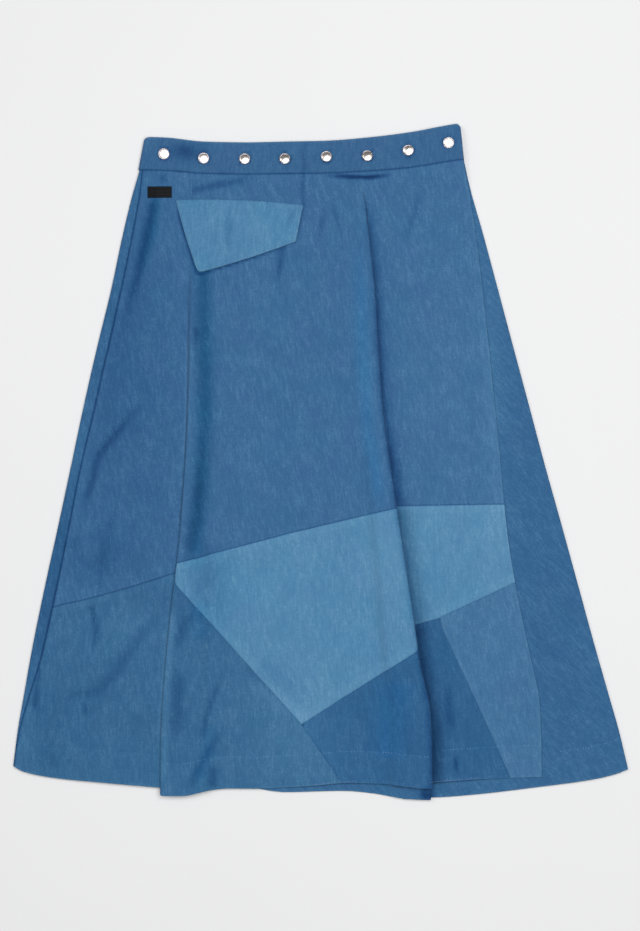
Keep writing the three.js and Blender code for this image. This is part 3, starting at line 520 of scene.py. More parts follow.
# How the soft forms grow in from the edges of the cloth, in millimetres or, from the waist, in shares.
softFront = dict(left=(1.5, 26), wrap=(0, 24), atWrap=0.12, waist=(0.0, 0.03), least=0.05)
softUnder = dict(side=(1.0, 24), wrap=(-4, 16), waist=(0.0, 0.05), air=0.9, shift=500)


def softForm(cloth, x, y, down):
    s = softFront
    fromLeft = smoothStep(x - edge["left"](down), *s["left"])
    fromWrap = mix(s["atWrap"], 1, smoothStep(edge["wrap"](down) - x, *s["wrap"]))
    rise = softCloth["air"] + unevenness(x, y) + creaseField(cloth, x, y, "depth")
    return np.maximum(rise, s["least"]) * fromLeft * fromWrap * smoothStep(down, *s["waist"])


def underForm(x, y, down):
    s = softUnder
    fromSide = smoothStep(edge["right"](down) - x, *s["side"])
    shown = smoothStep(x - edge["wrap"](down), *s["wrap"])
    rise = s["air"] + unevenness(x + s["shift"], y)
    return np.maximum(rise, 0.0) * fromSide * shown * smoothStep(down, *s["waist"])


def panelPoint(section, hem, form):
    def at(cloth, down):
        cloth, down = np.broadcast_arrays(cloth, down)
        waistY = waistSeamY(section(cloth, np.zeros_like(down))[0])
        x, z = section(cloth, down)
        y = mix(waistY, hem(cloth), down)
        return joined(x, y, z + form(cloth, x, y, down))
    return at


frontPoint = panelPoint(frontSection, hemY["front"], softForm)
underPoint = panelPoint(underSection, hemY["under"], lambda cloth, x, y, down:
                        underForm(x, y, down) * (cloth < 3))
backPoint = panelPoint(backSection, lambda cloth: hemY["back"](backSection(cloth, 1.0)[0]),
                       lambda cloth, x, y, down: softForm(np.zeros_like(x), x, y, down) * (cloth < 1.5))


def runs(*parts):
    return np.unique(np.concatenate([np.linspace(a, b, count + 1) for a, b, count in parts]).round(6))


frontColumns = runs((0, 0.03, 4), (0.03, 0.15, 7), (0.15, 1, 34), (1, 1.4, 9), (1.4, 1.6, 4), (1.6, 2, 10),
                    (2, 2.05, 5), (2.05, 2.95, 78), (2.95, 3, 5), (3, 3.4, 10), (3.4, 3.6, 4), (3.6, 4, 9),
                    (4, 4.88, 32), (4.88, 5, 16))
underColumns = runs((0, 0.9, 26), (0.9, 1, 6), (1, 1.4, 8), (1.4, 1.6, 4), (1.6, 2, 8), (2, 2.3, 10),
                    (2.3, 3, 52), (3, 4, 12), (4, 5, 4))
backColumns = runs((0, 1, 5), (1, 2, 12), (2, 3, 120))
edgeSteps = np.array([0, 0.35, 0.8, 1.4, 2.2, 3.2, 4.6])  # rows close to an edge
hemSteps = np.array([0, 0.4, 1.0, 2.0, 3.5, 6, 10, 15, 21, 27, 31, 33.5, 34.8, 36, 37.2, 38.5, 41])
hemDepth = 36.0  # how far above the hem its stitching runs


def gridRows(length, topSteps, lowSteps, spacing):
    room = np.minimum(1.0, length / (1.6 * (topSteps[-1] + lowSteps[-1])))
    top = topSteps[:, None] * room
    low = length - lowSteps[::-1, None] * room
    inner = max(2, int(round((length.max() - topSteps[-1] - lowSteps[-1]) / spacing)))
    share = np.linspace(0, 1, inner + 1)[1:-1, None]
    return np.concatenate([top, mix(top[-1], low[0], share), low])


def unit(v):
    return v / np.maximum(np.linalg.norm(v, axis=-1, keepdims=True), 1e-9)


def surfaceNormals(points):
    return unit(np.cross(np.gradient(points, axis=0), np.gradient(points, axis=1)))


def addObject(name, data, place=(0, 0, 0)):
    item = bpy.data.objects.new(name, data)
    item.location = place
    bpy.context.scene.collection.objects.link(item)
    return item


def addMesh(name, points, faces, uv=None, values=None, material=None):
    mesh = bpy.data.meshes.new(name)
    mesh.from_pydata((points * mm).tolist(), [], faces)
    if uv is not None:
        layer = mesh.uv_layers.new(name="cloth")
        corners = np.zeros(len(mesh.loops), np.int32)
        mesh.loops.foreach_get("vertex_index", corners)
        layer.data.foreach_set("uv", (uv[corners] * mm).astype(np.float32).ravel())
    for key, value in (values or {}).items():
        attribute = mesh.attributes.new(key, "FLOAT", "POINT")
        attribute.data.foreach_set("value", value.astype(np.float32))
    mesh.polygons.foreach_set("use_smooth", [True] * len(mesh.polygons))
    mesh.validate()
    mesh.update()
    mesh.materials.append(material)
    return addObject(name, mesh)


def clothShell(name, middle, wall, uv, values, material, bulge=0.3):
    normal = surfaceNormals(middle)
    top, low = middle + normal * (wall / 2), middle - normal * (wall / 2)
    count = normal[..., 0].size
    index = np.arange(count).reshape(middle.shape[:2])
    a, b, c, d = index[:-1, :-1], index[1:, :-1], index[1:, 1:], index[:-1, 1:]
    topFaces = joined(a, b, c, d).reshape(-1, 4)
    lowFaces = joined(a, d, c, b).reshape(-1, 4) + count
    ring = np.concatenate([index[0, :-1], index[:-1, -1], index[-1, :0:-1], index[:0:-1, 0]])
    outward = np.zeros_like(middle)
    outward[0] += middle[0] - middle[1]
    outward[-1] += middle[-1] - middle[-2]
    outward[:, 0] += middle[:, 0] - middle[:, 1]
    outward[:, -1] += middle[:, -1] - middle[:, -2]
    out = outward.reshape(-1, 3)[ring]
    rim = middle.reshape(-1, 3)[ring] + unit(out) * bulge
    rimIndex = np.arange(len(ring)) + 2 * count
    nextRing, nextRim = np.roll(ring, -1), np.roll(rimIndex, -1)
    upperRim = joined(ring, nextRing, nextRim, rimIndex)
    lowerRim = joined(rimIndex, nextRim, nextRing + count, ring + count)
    faces = np.concatenate([topFaces, lowFaces, upperRim, lowerRim])
    points = np.concatenate([top.reshape(-1, 3), low.reshape(-1, 3), rim])
    allOver = lambda value: np.concatenate([value, value, value[ring]])
    values = {key: allOver(value.reshape(-1)) for key, value in values.items()}
    return addMesh(name, points, faces.tolist(), allOver(uv.reshape(-1, 2)), values, material)


def evenGrid(down, across):
    return np.meshgrid(np.linspace(0, 1, down), np.linspace(0, 1, across), indexing="ij")


def planUv(points):
    # seen from above; the height is added so that an upright wall isn't smeared
    return joined(points[..., 0] + points[..., 2], points[..., 1])


# Denim. Each piece of cloth has its own colours and its own grain.
denimLooks = named(table("name dark middle light grain slub wander",
    ("frontUpper", (46, 91, 133), (56, 100, 142), (75, 120, 159), -10, 1.0),
    ("lightInsert", (67, 116, 156), (78, 128, 165), (100, 147, 180), -6, 0.9),
    ("lowerLeft", (41, 87, 127), (51, 98, 138), (73, 118, 155), -3, 0.9),
    ("darkInsert", (34, 81, 124), (43, 91, 134), (61, 109, 150), -10, 0.9),
    ("lowerRight", (52, 96, 138), (62, 107, 147), (84, 127, 164), -12, 0.9),
    ("underFront", (40, 85, 127), (50, 96, 138), (70, 115, 154), -42, 1.0, 2.4),
    ("backPanel", (45, 90, 130), (55, 102, 143), (74, 121, 160), -3, 1.0),
    ("waistband", (42, 84, 125), (53, 95, 136), (73, 115, 152), -4, 0.8),
    ("pocketFlap", (62, 111, 150), (75, 124, 162), (97, 144, 176), 3, 0.9),
))
weave = table("name width length share warp above full",
    ("slub", 2.2, 16.0, 0.3, 0.2), ("fleck", 1.1, 5.0, 0.22, 0.2), ("weft", 6.5, 1.5, 0.14, 0.3),
    ("cloud", 5.0, 15.0, 0.26, 0.4), ("mottle", 22.0, 40.0, 0.2, 0.5), ("speck", 1.4, 1.4, 0.34, 0.0),
    ("streak", 0.9, 4.6, 0.9, 0.1, 0.655, 0.74), ("nick", 1.5, 2.2, -0.9, 0.1, 0.665, 0.75),
    ("tint", 30.0, 38.0, 0, 0.1),
)
denim = dict(tealSwing=0.018, twillPitch=0.95, contrast=0.5, bump=0.14, shadeGamma=0.42, wearGamma=0.16)


def linearColour(rgb):
    values = [channel / 255 for channel in rgb]
    return [v / 12.92 if v <= 0.04045 else ((v + 0.055) / 1.055) ** 2.4 for v in values] + [1.0]


class Nodes:
    def __init__(self, name):
        self.material = bpy.data.materials.new(name)
        self.material.use_nodes = True
        self.tree = self.material.node_tree
        self.tree.nodes.clear()

    def add(self, kind, inputs=None, **settings):
        node = self.tree.nodes.new(kind)
        for key, value in settings.items():
            setattr(node, key, value)
        for key, value in (inputs or {}).items():
            if isinstance(value, bpy.types.NodeSocket):
                self.tree.links.new(value, node.inputs[key])
            else:
                node.inputs[key].default_value = value
        return node

    def math(self, operation, a, b):
        return self.add("ShaderNodeMath", {0: a, 1: b}, operation=operation).outputs[0]

    def blend(self, *parts):
        # each part is a value and how much of it is added
        total = None
        for value, share in parts:
            value = self.math("MULTIPLY", value, share)
            total = value if total is None else self.math("ADD", total, value)
        return total

    def attribute(self, name):
        return self.add("ShaderNodeAttribute", attribute_name=name).outputs["Fac"]

    def noise(self, vector, scale=1.0, detail=2.0, roughness=0.5, warp=0.0):
        return self.add("ShaderNodeTexNoise", {
            "Vector": vector, "Scale": scale, "Detail": detail, "Roughness": roughness,
            "Distortion": warp}).outputs["Fac"]

    def spread(self, value, low, high, toLow, toHigh):
        inputs = {"Value": value, "From Min": low, "From Max": high, "To Min": toLow, "To Max": toHigh}
        return self.add("ShaderNodeMapRange", inputs, clamp=True).outputs[0]

    def mapped(self, vector, **inputs):
        return self.add("ShaderNodeMapping", {"Vector": vector, **inputs}).outputs[0]

    def stretched(self, vector, width, length, shift=0.0):
        return self.mapped(vector, Scale=(1 / (width * mm), 1 / (length * mm), 1.0), Location=(shift,) * 3)

    def turned(self, vector, degrees):
        return self.mapped(vector, Rotation=(0, 0, math.radians(degrees)))

    def ramp(self, value, *colours):
        node = self.add("ShaderNodeValToRGB", {"Fac": value})
        elements = node.color_ramp.elements
        elements[0].color, elements[1].color = colours[0], colours[-1]
        for colour in colours[1:-1]:
            elements.new(0.5).color = colour
        return node.outputs["Color"]

    def finish(self, colour, roughness, bump=None, **more):
        # bump: the height, its strength and its depth in millimetres
        inputs = {"Base Color": colour, "Roughness": roughness}
        if bump:
            inputs["Normal"] = self.add("ShaderNodeBump", {
                "Height": bump[0], "Strength": bump[1], "Distance": bump[2] * mm}).outputs["Normal"]
        inputs.update({key.replace("_", " "): value for key, value in more.items()})
        shader = self.add("ShaderNodeBsdfPrincipled", inputs)
        self.add("ShaderNodeOutputMaterial", {"Surface": shader.outputs[0]})
        return self.material


def denimMaterial(name, look):
    n = Nodes(name)
    grain = n.turned(n.add("ShaderNodeUVMap", uv_map="cloth").outputs[0], look["grain"])
    parts = {}
    for shift, w in enumerate(weave):
        warp = w["warp"] * look.get("wander", 1.0)  # "wander" is how much the grain swirls
        where = n.stretched(grain, w["width"], w["length"], 3.7 * shift)
        parts[w["name"]] = n.noise(where, roughness=0.55, warp=warp)
    twill = n.add("ShaderNodeTexWave", {
        "Vector": n.turned(grain, -62), "Scale": 1 / (denim["twillPitch"] * mm) / 20 * math.pi,
        "Distortion": 0.6, "Detail": 1.0, "Detail Scale": 2.0}, wave_type="BANDS", bands_direction="X")
    twill = twill.outputs["Fac"]
    tone = n.spread(twill, 0.0, 1.0, -0.03, 0.03)
    for w in weave[:-1]:
        limits = (0.3, 0.7, -w["share"] * look["slub"], w["share"] * look["slub"])
        if "above" in w:
            limits = (w["above"], w["full"], 0.0, w["share"])
        tone = n.math("ADD", tone, n.spread(parts[w["name"]], *limits))
    tone = n.math("ADD", n.math("MULTIPLY", tone, denim["contrast"]), 0.5)
    colour = n.ramp(tone, *(linearColour(look[key]) for key in ("dark", "middle", "light")))
    # Wear lightens the colour. Shade is mostly painted shade, with dark seam lines and dye, and deepens the
    # colour by a gamma; the painted shadow scales it down, and teal and blue are painted tints of shade.
    wear, shade, cast, teal, blue = (n.attribute(key) for key in ("wear", "shade", "cast", "teal", "blue"))
    swing = denim["tealSwing"]
    red = n.spread(parts["tint"], 0.35, 0.65, 1 - 2 * swing, 1 + 2 * swing)
    red = n.math("SUBTRACT", red, n.math("ADD", teal, blue))
    green = n.spread(parts["tint"], 0.35, 0.65, 1 + swing / 2, 1 - swing / 2)
    bluer = n.spread(blue, 0.0, 1.0, 1.0, 1.25)
    swung = n.add("ShaderNodeCombineXYZ", {0: red, 1: green, 2: bluer}).outputs[0]
    tinted = n.add("ShaderNodeVectorMath", {0: colour, 1: swung}, operation="MULTIPLY").outputs[0]
    deeper = n.blend((shade, denim["shadeGamma"]), (wear, -denim["wearGamma"]))
    deepened = n.add("ShaderNodeGamma", {"Color": tinted, "Gamma": n.math("ADD", deeper, 1.0)}).outputs[0]
    kept = n.math("SUBTRACT", 1.0, cast)
    dyed = n.add("ShaderNodeVectorMath", {0: deepened, "Scale": kept}, operation="SCALE").outputs[0]
    height = n.blend((twill, 0.5), (parts["slub"], 0.9), (parts["speck"], 0.8), (parts["fleck"], 0.6))
    rough = n.spread(parts["speck"], 0.3, 0.7, 0.82, 0.95)
    return n.finish(dyed, rough, (height, 0.55, denim["bump"]),
                    Specular_IOR_Level=0.14, Sheen_Weight=0.04, Sheen_Roughness=0.6)



denims = {key: denimMaterial("denim_" + key, look) for key, look in denimLooks.items()}
print("denim materials made")


clothPieces = []  # what the flap, the label, the snaps and the stitches lie on


def addPiece(piece, node, slot, **sheet):
    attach(piece, "root")
    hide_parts(node)
    if sheet.get("held") == "folded":
        clothPieces.append(piece)


# The cloth pieces.
waistLine = dict(shade=0.9, width=1.15)
seams = dict(depth=0.4, width=0.9, allowance=0.35, reach=9.0, line=0.7, faintLine=0.3, lineWidth=0.75,
             lighter=0.22)
wrapHem = dict(reach=9.0, groove=0.14, grooveWidth=1.2, rise=0.2, lighter=0.16, worn=0.4, wornWidth=1.2)
bottomHem = dict(rise=0.22, groove=0.2, grooveWidth=1.3, lighter=0.08, worn=0.5, wornWidth=1.3)
sideSeam = dict(line=0.95, width=0.95, depth=0.35, reach=8.0, lighter=0.12)
sideShade = dict(tone=0.36, start=(0.48, 0.62), finish=(0.8, 0.89))  # here the back panel's strip is in shade
halfGap = 0.06 / clothLength  # sewn pieces end this far from the seam, as a share of the length


def inStrip(distance, reach):
    return 1 - smoothStep(distance, reach - 1.2, reach + 1.2)


def hemForm(hem, strip, fromStitches):
    return hem["rise"] * strip - hem["groove"] * bell(fromStitches, hem["grooveWidth"])


def squareOn(line):
    # how much shorter the way straight to a slanted line is than the way down the cloth
    dx, dy = np.gradient(line[:, 0]), np.gradient(line[:, 1])
    return np.maximum(np.abs(dx) / np.maximum(np.hypot(dx, dy), 1e-9), 0.3)


def patchSheet(name, look, pointAt, across, top, low, edges, lapped=False, sideSeamed=False, spacing=3.0):
    length = (low(across) - top(across)) * clothLength
    atHem = (low(across) > 1 - 1e-6) * 1.0
    distance = gridRows(length, edgeSteps, hemSteps if atHem.any() else edgeSteps, spacing)
    down = mix(top(across), low(across), distance / length)
    cloth = np.broadcast_to(across[None, :], down.shape)
    points = pointAt(cloth, down)
    normal = surfaceNormals(points)
    x, y = points[..., 0], points[..., 1]
    form, shade, wear = np.zeros_like(down), dyeAndShadeTone(cloth, x, y), np.zeros_like(down)
    if atHem.any():
        gap = (1 - down) * clothLength
        strip = inStrip(gap, hemDepth)
        form += hemForm(bottomHem, strip, gap - hemDepth)
        wear += bottomHem["lighter"] * strip + bottomHem["worn"] * bell(gap, bottomHem["wornWidth"])
    both = (distance, edges[0], 0, 1.0), (length - distance, edges[1], -1, 1.0 - atHem)
    for gap, kind, line, sewn in both:
        if kind == "waist":
            shade += waistLine["shade"] * bell(gap, waistLine["width"])
            continue
        gap = gap * squareOn(points[line])
        strip = inStrip(gap, seams["reach"]) * kind(cloth) * sewn
        form += seams["allowance"] * strip - seams["depth"] * bell(gap, seams["width"]) * sewn
        isUpper = np.abs((top, low)[line](across) - seamAt["upper"](across)) < 0.001
        shade += np.where(isUpper, seams["line"], seams["faintLine"]) * bell(gap, seams["lineWidth"]) * sewn
        wear += seams["lighter"] * strip
    if sideSeamed:
        gap = np.abs(x - x[:, :1])
        form -= sideSeam["depth"] * bell(gap, sideSeam["width"])
        shade += sideSeam["line"] * bell(gap, sideSeam["width"]) * (cloth < 2)
        wear += sideSeam["lighter"] * inStrip(gap, sideSeam["reach"]) * (cloth < 1)
    if look == "backPanel":
        fadeOut = 1 - smoothStep(down, *sideShade["finish"])
        shade += sideShade["tone"] * smoothStep(down, *sideShade["start"]) * fadeOut
    if lapped:
        gap = edge["wrap"](down) - x
        strip = inStrip(gap, wrapHem["reach"])
        form += hemForm(wrapHem, strip, gap - wrapHem["reach"])
        wear += wrapHem["lighter"] * strip + wrapHem["worn"] * bell(gap, wrapHem["wornWidth"])
    seen = smoothStep(np.abs(normal[..., 2]), 0.2, 0.8) * (points[..., 2] > underHeight - 0.5)
    points[..., 2] += form * seen
    # painted shadow and painted tints of shade from the creases
    cast, teal, blue = (creaseField(cloth, x, y, key) for key in ("cast", "teal", "blue"))
    marks = dict(wear=wear, shade=shade, cast=1 - np.exp(-cast), teal=teal, blue=blue)
    return clothShell(name, points, layers["wall"], planUv(points), marks, denims[look])


def lowerLeftTop(cloth):
    inner = np.maximum(seamAt["upper"](cloth), seamAt["light"](cloth))
    return np.select([cloth < corner["lightTip"], cloth < corner["lightFoot"]],
                     [seamAt["upper"](cloth), inner], seamAt["leftSlant"](cloth))


def within(columns, start, finish):
    keep = columns[(columns > start + 0.003) & (columns < finish - 0.003)]
    return np.concatenate([[start], keep, [finish]])


def whereWide(columns, top, low, least=0.0012):
    fine = np.linspace(columns[0], columns[-1], 4001)
    wide = fine[(low(fine) - top(fine)) >= least]
    return within(columns, wide[0], wide[-1])


def darkTop(cloth):
    return np.where(cloth < corner["slantTop"], seamAt["light"](cloth), seamAt["rightSlant"](cloth)) + halfGap


def slantOrHem(seam, foot):
    return lambda cloth: np.where(cloth < corner[foot], seamAt[seam](cloth) - halfGap, 1.0)


none, full = (lambda cloth: np.zeros_like(cloth)), (lambda cloth: np.ones_like(cloth))
above = lambda line: (lambda cloth: line(cloth) - halfGap)
below = lambda line: (lambda cloth: line(cloth) + halfGap)
besideUpper = lambda cloth: (cloth < corner["lightTip"]) * 1.0
patchColumns = np.unique(np.concatenate([frontColumns, list(corner.values()), [0.064, 0.26]]).round(6))
# "edges" says along which part of its top and low edge a patch is raised by the seam
patches = table("node slot look top low start finish edges flat area",
    ("front_upper", "denim", "frontUpper", none, above(seamAt["upper"]), 0, 5,
     ("waist", none), (0.555, 0.515), 0.1932),
    ("front_light_insert", "denim_light", "lightInsert", below(seamAt["upper"]), above(seamAt["light"]),
     corner["lightTip"], 5, (full, full), (0.46, 0.25), 0.0612),
    ("front_lower_left", "denim_lower", "lowerLeft", below(lowerLeftTop), full, 0, corner["darkFoot"],
     (besideUpper, none), (0.4, 0.265), 0.073),
    ("front_dark_insert", "denim_dark", "darkInsert", darkTop, slantOrHem("leftSlant", "darkFoot"),
     corner["lightFoot"], corner["slantFoot"], (none, none), (0.3, 0.19), 0.036),
    ("front_lower_right", "denim_pale", "lowerRight", below(seamAt["light"]),
     slantOrHem("rightSlant", "slantFoot"), corner["slantTop"], 5, (none, full), (0.12, 0.215), 0.0145),
)
for p in patches:
    columns = whereWide(within(patchColumns, p["start"], p["finish"]), p["top"], p["low"])
    piece = patchSheet("denim_" + p["node"], p["look"], frontPoint, columns, p["top"], p["low"], p["edges"],
                       lapped=p["finish"] == 5, sideSeamed=p["start"] == 0)
    addPiece(piece, p["node"], p["slot"], flat=p["flat"], held="folded", rests_on="denim_under_front",
             area=p["area"])
print("front patches made")

piece = patchSheet("denim_under_front", "underFront", underPoint, underColumns, none, full,
                   ("waist", none), spacing=3.4)
addPiece(piece, "under_front", "denim_under", flat=(0.66, 0.73), held="folded",
         rests_on="denim_back_panel", area=0.354)
piece = patchSheet("denim_back_panel", "backPanel", backPoint, backColumns, none, full,
                   ("waist", none), sideSeamed=True, spacing=4.2)
addPiece(piece, "back_panel", "denim_back", flat=(0.715, 0.715), held="folded", rests_on="floor", area=0.371)
print("under front and back panel made")

# The waistband: one strip wound round the waist. Each snap on it has a middle, and tips to the right and up
# by some degrees.
snapPlaces = table("across y right up",
    (-176.1, 347.3, 5.0, -2.5), (-131.2, 342.5, 4.5, 4.0), (-84.9, 341.8, 2.0, 9.0),
    (-39.7, 341.9, 0.0, 11.0), (7.2, 344.4, 0.5, 9.5), (53.3, 345.3, -0.5, 11.5), (99.4, 351.5, -4.5, 6.5),
    (144.9, 359.9, 2.0, -3.0),
)
# Darker marks on the band: a patch right of the first snap, and the painted shade of a crease down the band.
bandMarks = table("x up wide high tone", (-152, 5, 15, 8, 0.75), (-17.5, -5, 1.8, 14, 0.45))
snapRing = dict(radius=6.9, width=0.9, tone=0.5)  # painted contact shadow in a ring round each snap
bandSizes = dict(wall=1.9, corner=4.5, left=-200.6, right=159.5, underEnd=-191.0, swell=0.45, uneven=0.3,
                 wornTop=0.6, wornLow=0.25, shadeLow=0.45)


def waistbandPath():
    # at each point along the band: across, up, and how much it faces up
    b, h = bandSizes, bandHeights
    turnLeft, turnRight = (h["front"] - h["back"]) / 2, (h["under"] - h["back"]) / 2
    left, right = b["left"] + turnLeft, b["right"] - turnRight

    def flat(start, finish, count, height, side):
        return [(x, height, side) for x in np.linspace(start, finish, count)]

    def bend(x, radius, side):
        angles = np.linspace(0, math.pi, 12)[1:-1]
        return [(x + radius * (side * math.sin(a)), h["back"] + radius + radius * (math.cos(a) * -side),
                 math.cos(a) * -side) for a in angles]

    return np.array(
        flat(b["right"], b["right"] - b["corner"], 6, h["front"], 1.0)
        + flat(b["right"] - b["corner"] - 2.5, left, 124, h["front"], 1.0) + bend(left, turnLeft, -1)
        + flat(left, right, 60, h["back"], -1.0) + bend(right, turnRight, 1)
        + flat(right, b["underEnd"], 60, h["under"], 1.0)).T


def waistband():
    b = bandSizes
    x, z, facing = waistbandPath()
    middleX, halfWidth = (b["right"] + b["left"]) / 2, (b["right"] - b["left"]) / 2
    past = np.clip(np.abs(x - middleX) - halfWidth + b["corner"], 0, b["corner"])
    cut = b["corner"] - np.sqrt(b["corner"] ** 2 - past ** 2)
    lean = np.radians(bandAt["lean"](x))
    half = bandAt["height"](x) / 2
    steps = np.array([0, 0.4, 1.0, 1.8, 3, 5, 8, 12, 16])  # rows close to the edges
    rise = half[:, None] - cut[:, None]
    reach = np.concatenate([rise - steps, np.zeros((len(x), 1)), -half[:, None] + steps[::-1]], axis=1).T
    along = np.cumsum(np.hypot(np.gradient(x), np.gradient(z)))
    onTop = (facing > 0.5) & (z > bandHeights["front"] - 0.1)
    bandX, bandY = x + reach * np.sin(lean), bandAt["y"](x) + reach * np.cos(lean)
    swell = b["swell"] * np.cos(np.clip(reach / half, -1, 1) * math.pi / 2)
    swell += b["uneven"] * unevenness(bandX * 2.2, bandY * 2.2)
    points = joined(bandX, bandY, z + np.maximum(swell * onTop, -0.2))
    uv = joined(np.broadcast_to(along, reach.shape), reach)
    wear = b["wornTop"] * bell(rise.T - reach, 1.4) + b["wornLow"] * bell(reach + half, 1.4)
    shade = b["shadeLow"] * bell(reach + half, 1.0)
    for mark in bandMarks:
        shade += mark["tone"] * onTop * spot(x - mark["x"], reach - mark["up"], mark["wide"], mark["high"])
    for place in snapPlaces:
        away = np.hypot(bandX - place["across"], bandY - place["y"])
        shade += snapRing["tone"] * onTop * bell(away - snapRing["radius"], snapRing["width"])
    values = dict(wear=wear, shade=shade)
    return clothShell("denim_waistband", points, b["wall"], uv, values, denims["waistband"], bulge=0.5)


addPiece(waistband(), "waistband", "denim_band", flat=(1.085, 0.0385), held="folded", rests_on="floor",
         area=0.0405)
print("waistband made")


# Finding the top of the cloth at a place, for what lies on it.
def treeOf(pieces):
    points, faces = [], []
    for piece in pieces:
        start = len(points)
        points.extend(v.co.copy() for v in piece.data.vertices)
        faces.extend([start + i for i in p.vertices] for p in piece.data.polygons)
    return BVHTree.FromPolygons(points, faces)


clothTree = treeOf(clothPieces)


@np.vectorize
def heightAt(x, y):
    hit = clothTree.ray_cast(Vector((x * mm, y * mm, 0.1)), Vector((0, 0, -1)))
    return hit[0].z / mm if hit[0] else 0.0


flapSizes = dict(wall=1.3, seat=0.15, lift=1.0, topLeft=(-162.4, 295.5), topRight=(-19.2, 290.0),
                 lowLeft=(-137.4, 213.4), lowRight=(-27.6, 248.6), topBow=2.6, lowBow=-1.5, leftBow=-1.2,
                 tip=1.6, tipReach=3.2, tipTo=(0.5, 0.85), press=0.35, dip=0.12, dipIn=2.8,
                 stitchIn=((3.6, 0.6), (2.4, 3.2), (-2.0, 2.4), (-2.8, 0.6)))
# Marks on the flap: a lighter patch, and painted shade in two narrow places, one of them a dart.
flapMarks = table("kind x y wide high more",
    ("wear", -75, 262, 26, 30, 0.2), ("shade", -103, 258, 4, 22, 0.35), ("shade", -33, 277, 4, 9, 0.3))


def pocketFlap():
    f = flapSizes
    v, u = evenGrid(52, 84)
    topX, topY = (mix(a, b, u) for a, b in zip(f["topLeft"], f["topRight"]))
    lowX, lowY = (mix(a, b, u) for a, b in zip(f["lowLeft"], f["lowRight"]))
    topY, lowY = topY + f["topBow"] * np.sin(math.pi * u), lowY + f["lowBow"] * np.sin(math.pi * u)
    x = mix(topX, lowX, v) + f["leftBow"] * np.sin(math.pi * v) * (1 - u)
    y = mix(topY, lowY, v)
    pull = f["tip"] * bell(np.hypot(x - f["lowLeft"][0], y - f["lowLeft"][1]), f["tipReach"])
    x, y = x + pull * f["tipTo"][0], y + pull * f["tipTo"][1]
    z = heightAt(x, y) + f["wall"] / 2 + f["seat"] + f["lift"] * smoothStep(v, 0.0, 0.5)
    width = np.hypot(topX - lowX, topY - lowY)
    fromLow, fromTop = (1 - v) * width, v * width
    fromSide = np.minimum(u, 1 - u) * np.hypot(x[:, -1:] - x[:, :1], y[:, -1:] - y[:, :1])
    border = np.minimum(np.minimum(fromLow, fromTop), fromSide)
    z -= f["press"] * bell(border, 1.0) + f["dip"] * bell(border - f["dipIn"], 0.9)
    points = joined(x, y, z)
    # worn edges, and painted shade along the top where the flap tucks under its seam
    values = dict(wear=0.35 * bell(border, 1.3), shade=0.5 * bell(fromTop, 1.0))
    for mark in flapMarks:
        values[mark["kind"]] += mark["more"] * spot(x - mark["x"], y - mark["y"], mark["wide"], mark["high"])
    uv = planUv(points)
    return clothShell("denim_pocket_flap", points, f["wall"], uv, values, denims["pocketFlap"], bulge=0.45)


addPiece(pocketFlap(), "pocket_flap", "denim_flap", flat=(0.145, 0.085), held="laid",
         rests_on="denim_front_upper", area=0.0082)
print("pocket flap made")

labelSizes = dict(wall=0.7, left=-194.2, right=-167.3, top=310.2, low=298.0, seat=0.12, swell=0.25)


def labelMaterial():
    n = Nodes("black_woven_tape")
    cloth = n.add("ShaderNodeUVMap", uv_map="cloth").outputs[0]
    inputs = {"Vector": cloth, "Scale": 90.0, "Distortion": 0.5}
    ribs = n.add("ShaderNodeTexWave", inputs, bands_direction="Y").outputs["Fac"]
    tone = n.blend((ribs, 0.5), (n.noise(n.stretched(cloth, 0.5, 0.3), detail=1.0), 0.5))
    colour = n.ramp(tone, linearColour((4, 5, 8)), linearColour((20, 21, 26)))
    return n.finish(colour, 0.6, (ribs, 0.5, 0.1), Specular_IOR_Level=0.12)


def wovenLabel():
    s = labelSizes
    v, u = evenGrid(16, 34)
    x, y = mix(s["left"], s["right"], u), mix(s["top"], s["low"], v)
    z = heightAt(x, y) + s["wall"] / 2 + s["seat"] + s["swell"] * np.sin(math.pi * u) ** 0.5
    points, uv = joined(x, y, z), joined(x, y)
    return clothShell("bare_woven_label", points, s["wall"], uv, {}, labelMaterial(), bulge=0.25)


addPiece(wovenLabel(), "woven_label", "label_weave", flat=(0.028, 0.0126), held="laid",
         rests_on="denim_front_upper")
print("label made")

# Snaps: domed metal caps.
snapSizes = dict(radius=6.25, rim=0.6, rimWidth=0.95, groove=0.2, dome=0.72, seat=0.02, sides=72, rings=22)


def snapMaterial():
    n = Nodes("polished_nickel")
    where = n.add("ShaderNodeTexCoord").outputs["Object"]
    scratch, smudge = (n.noise(n.stretched(where, *size), detail=3.0) for size in ((1.2, 0.25), (4.0, 4.0)))
    bright = n.ramp(smudge, linearColour((228, 216, 208)), linearColour((240, 234, 230)))
    # The rim gets a darker metal colour, painted to dim its reflection.
    # the colour sockets of a Mix node share their names with others, so they are picked by number
    inputs = {0: n.attribute("rim"), 6: bright, 7: linearColour((158, 154, 160))}
    colour = n.add("ShaderNodeMix", inputs, data_type="RGBA").outputs[2]
    return n.finish(colour, n.spread(smudge, 0.3, 0.7, 0.2, 0.27), (scratch, 0.03, 0.02), Metallic=1.0)


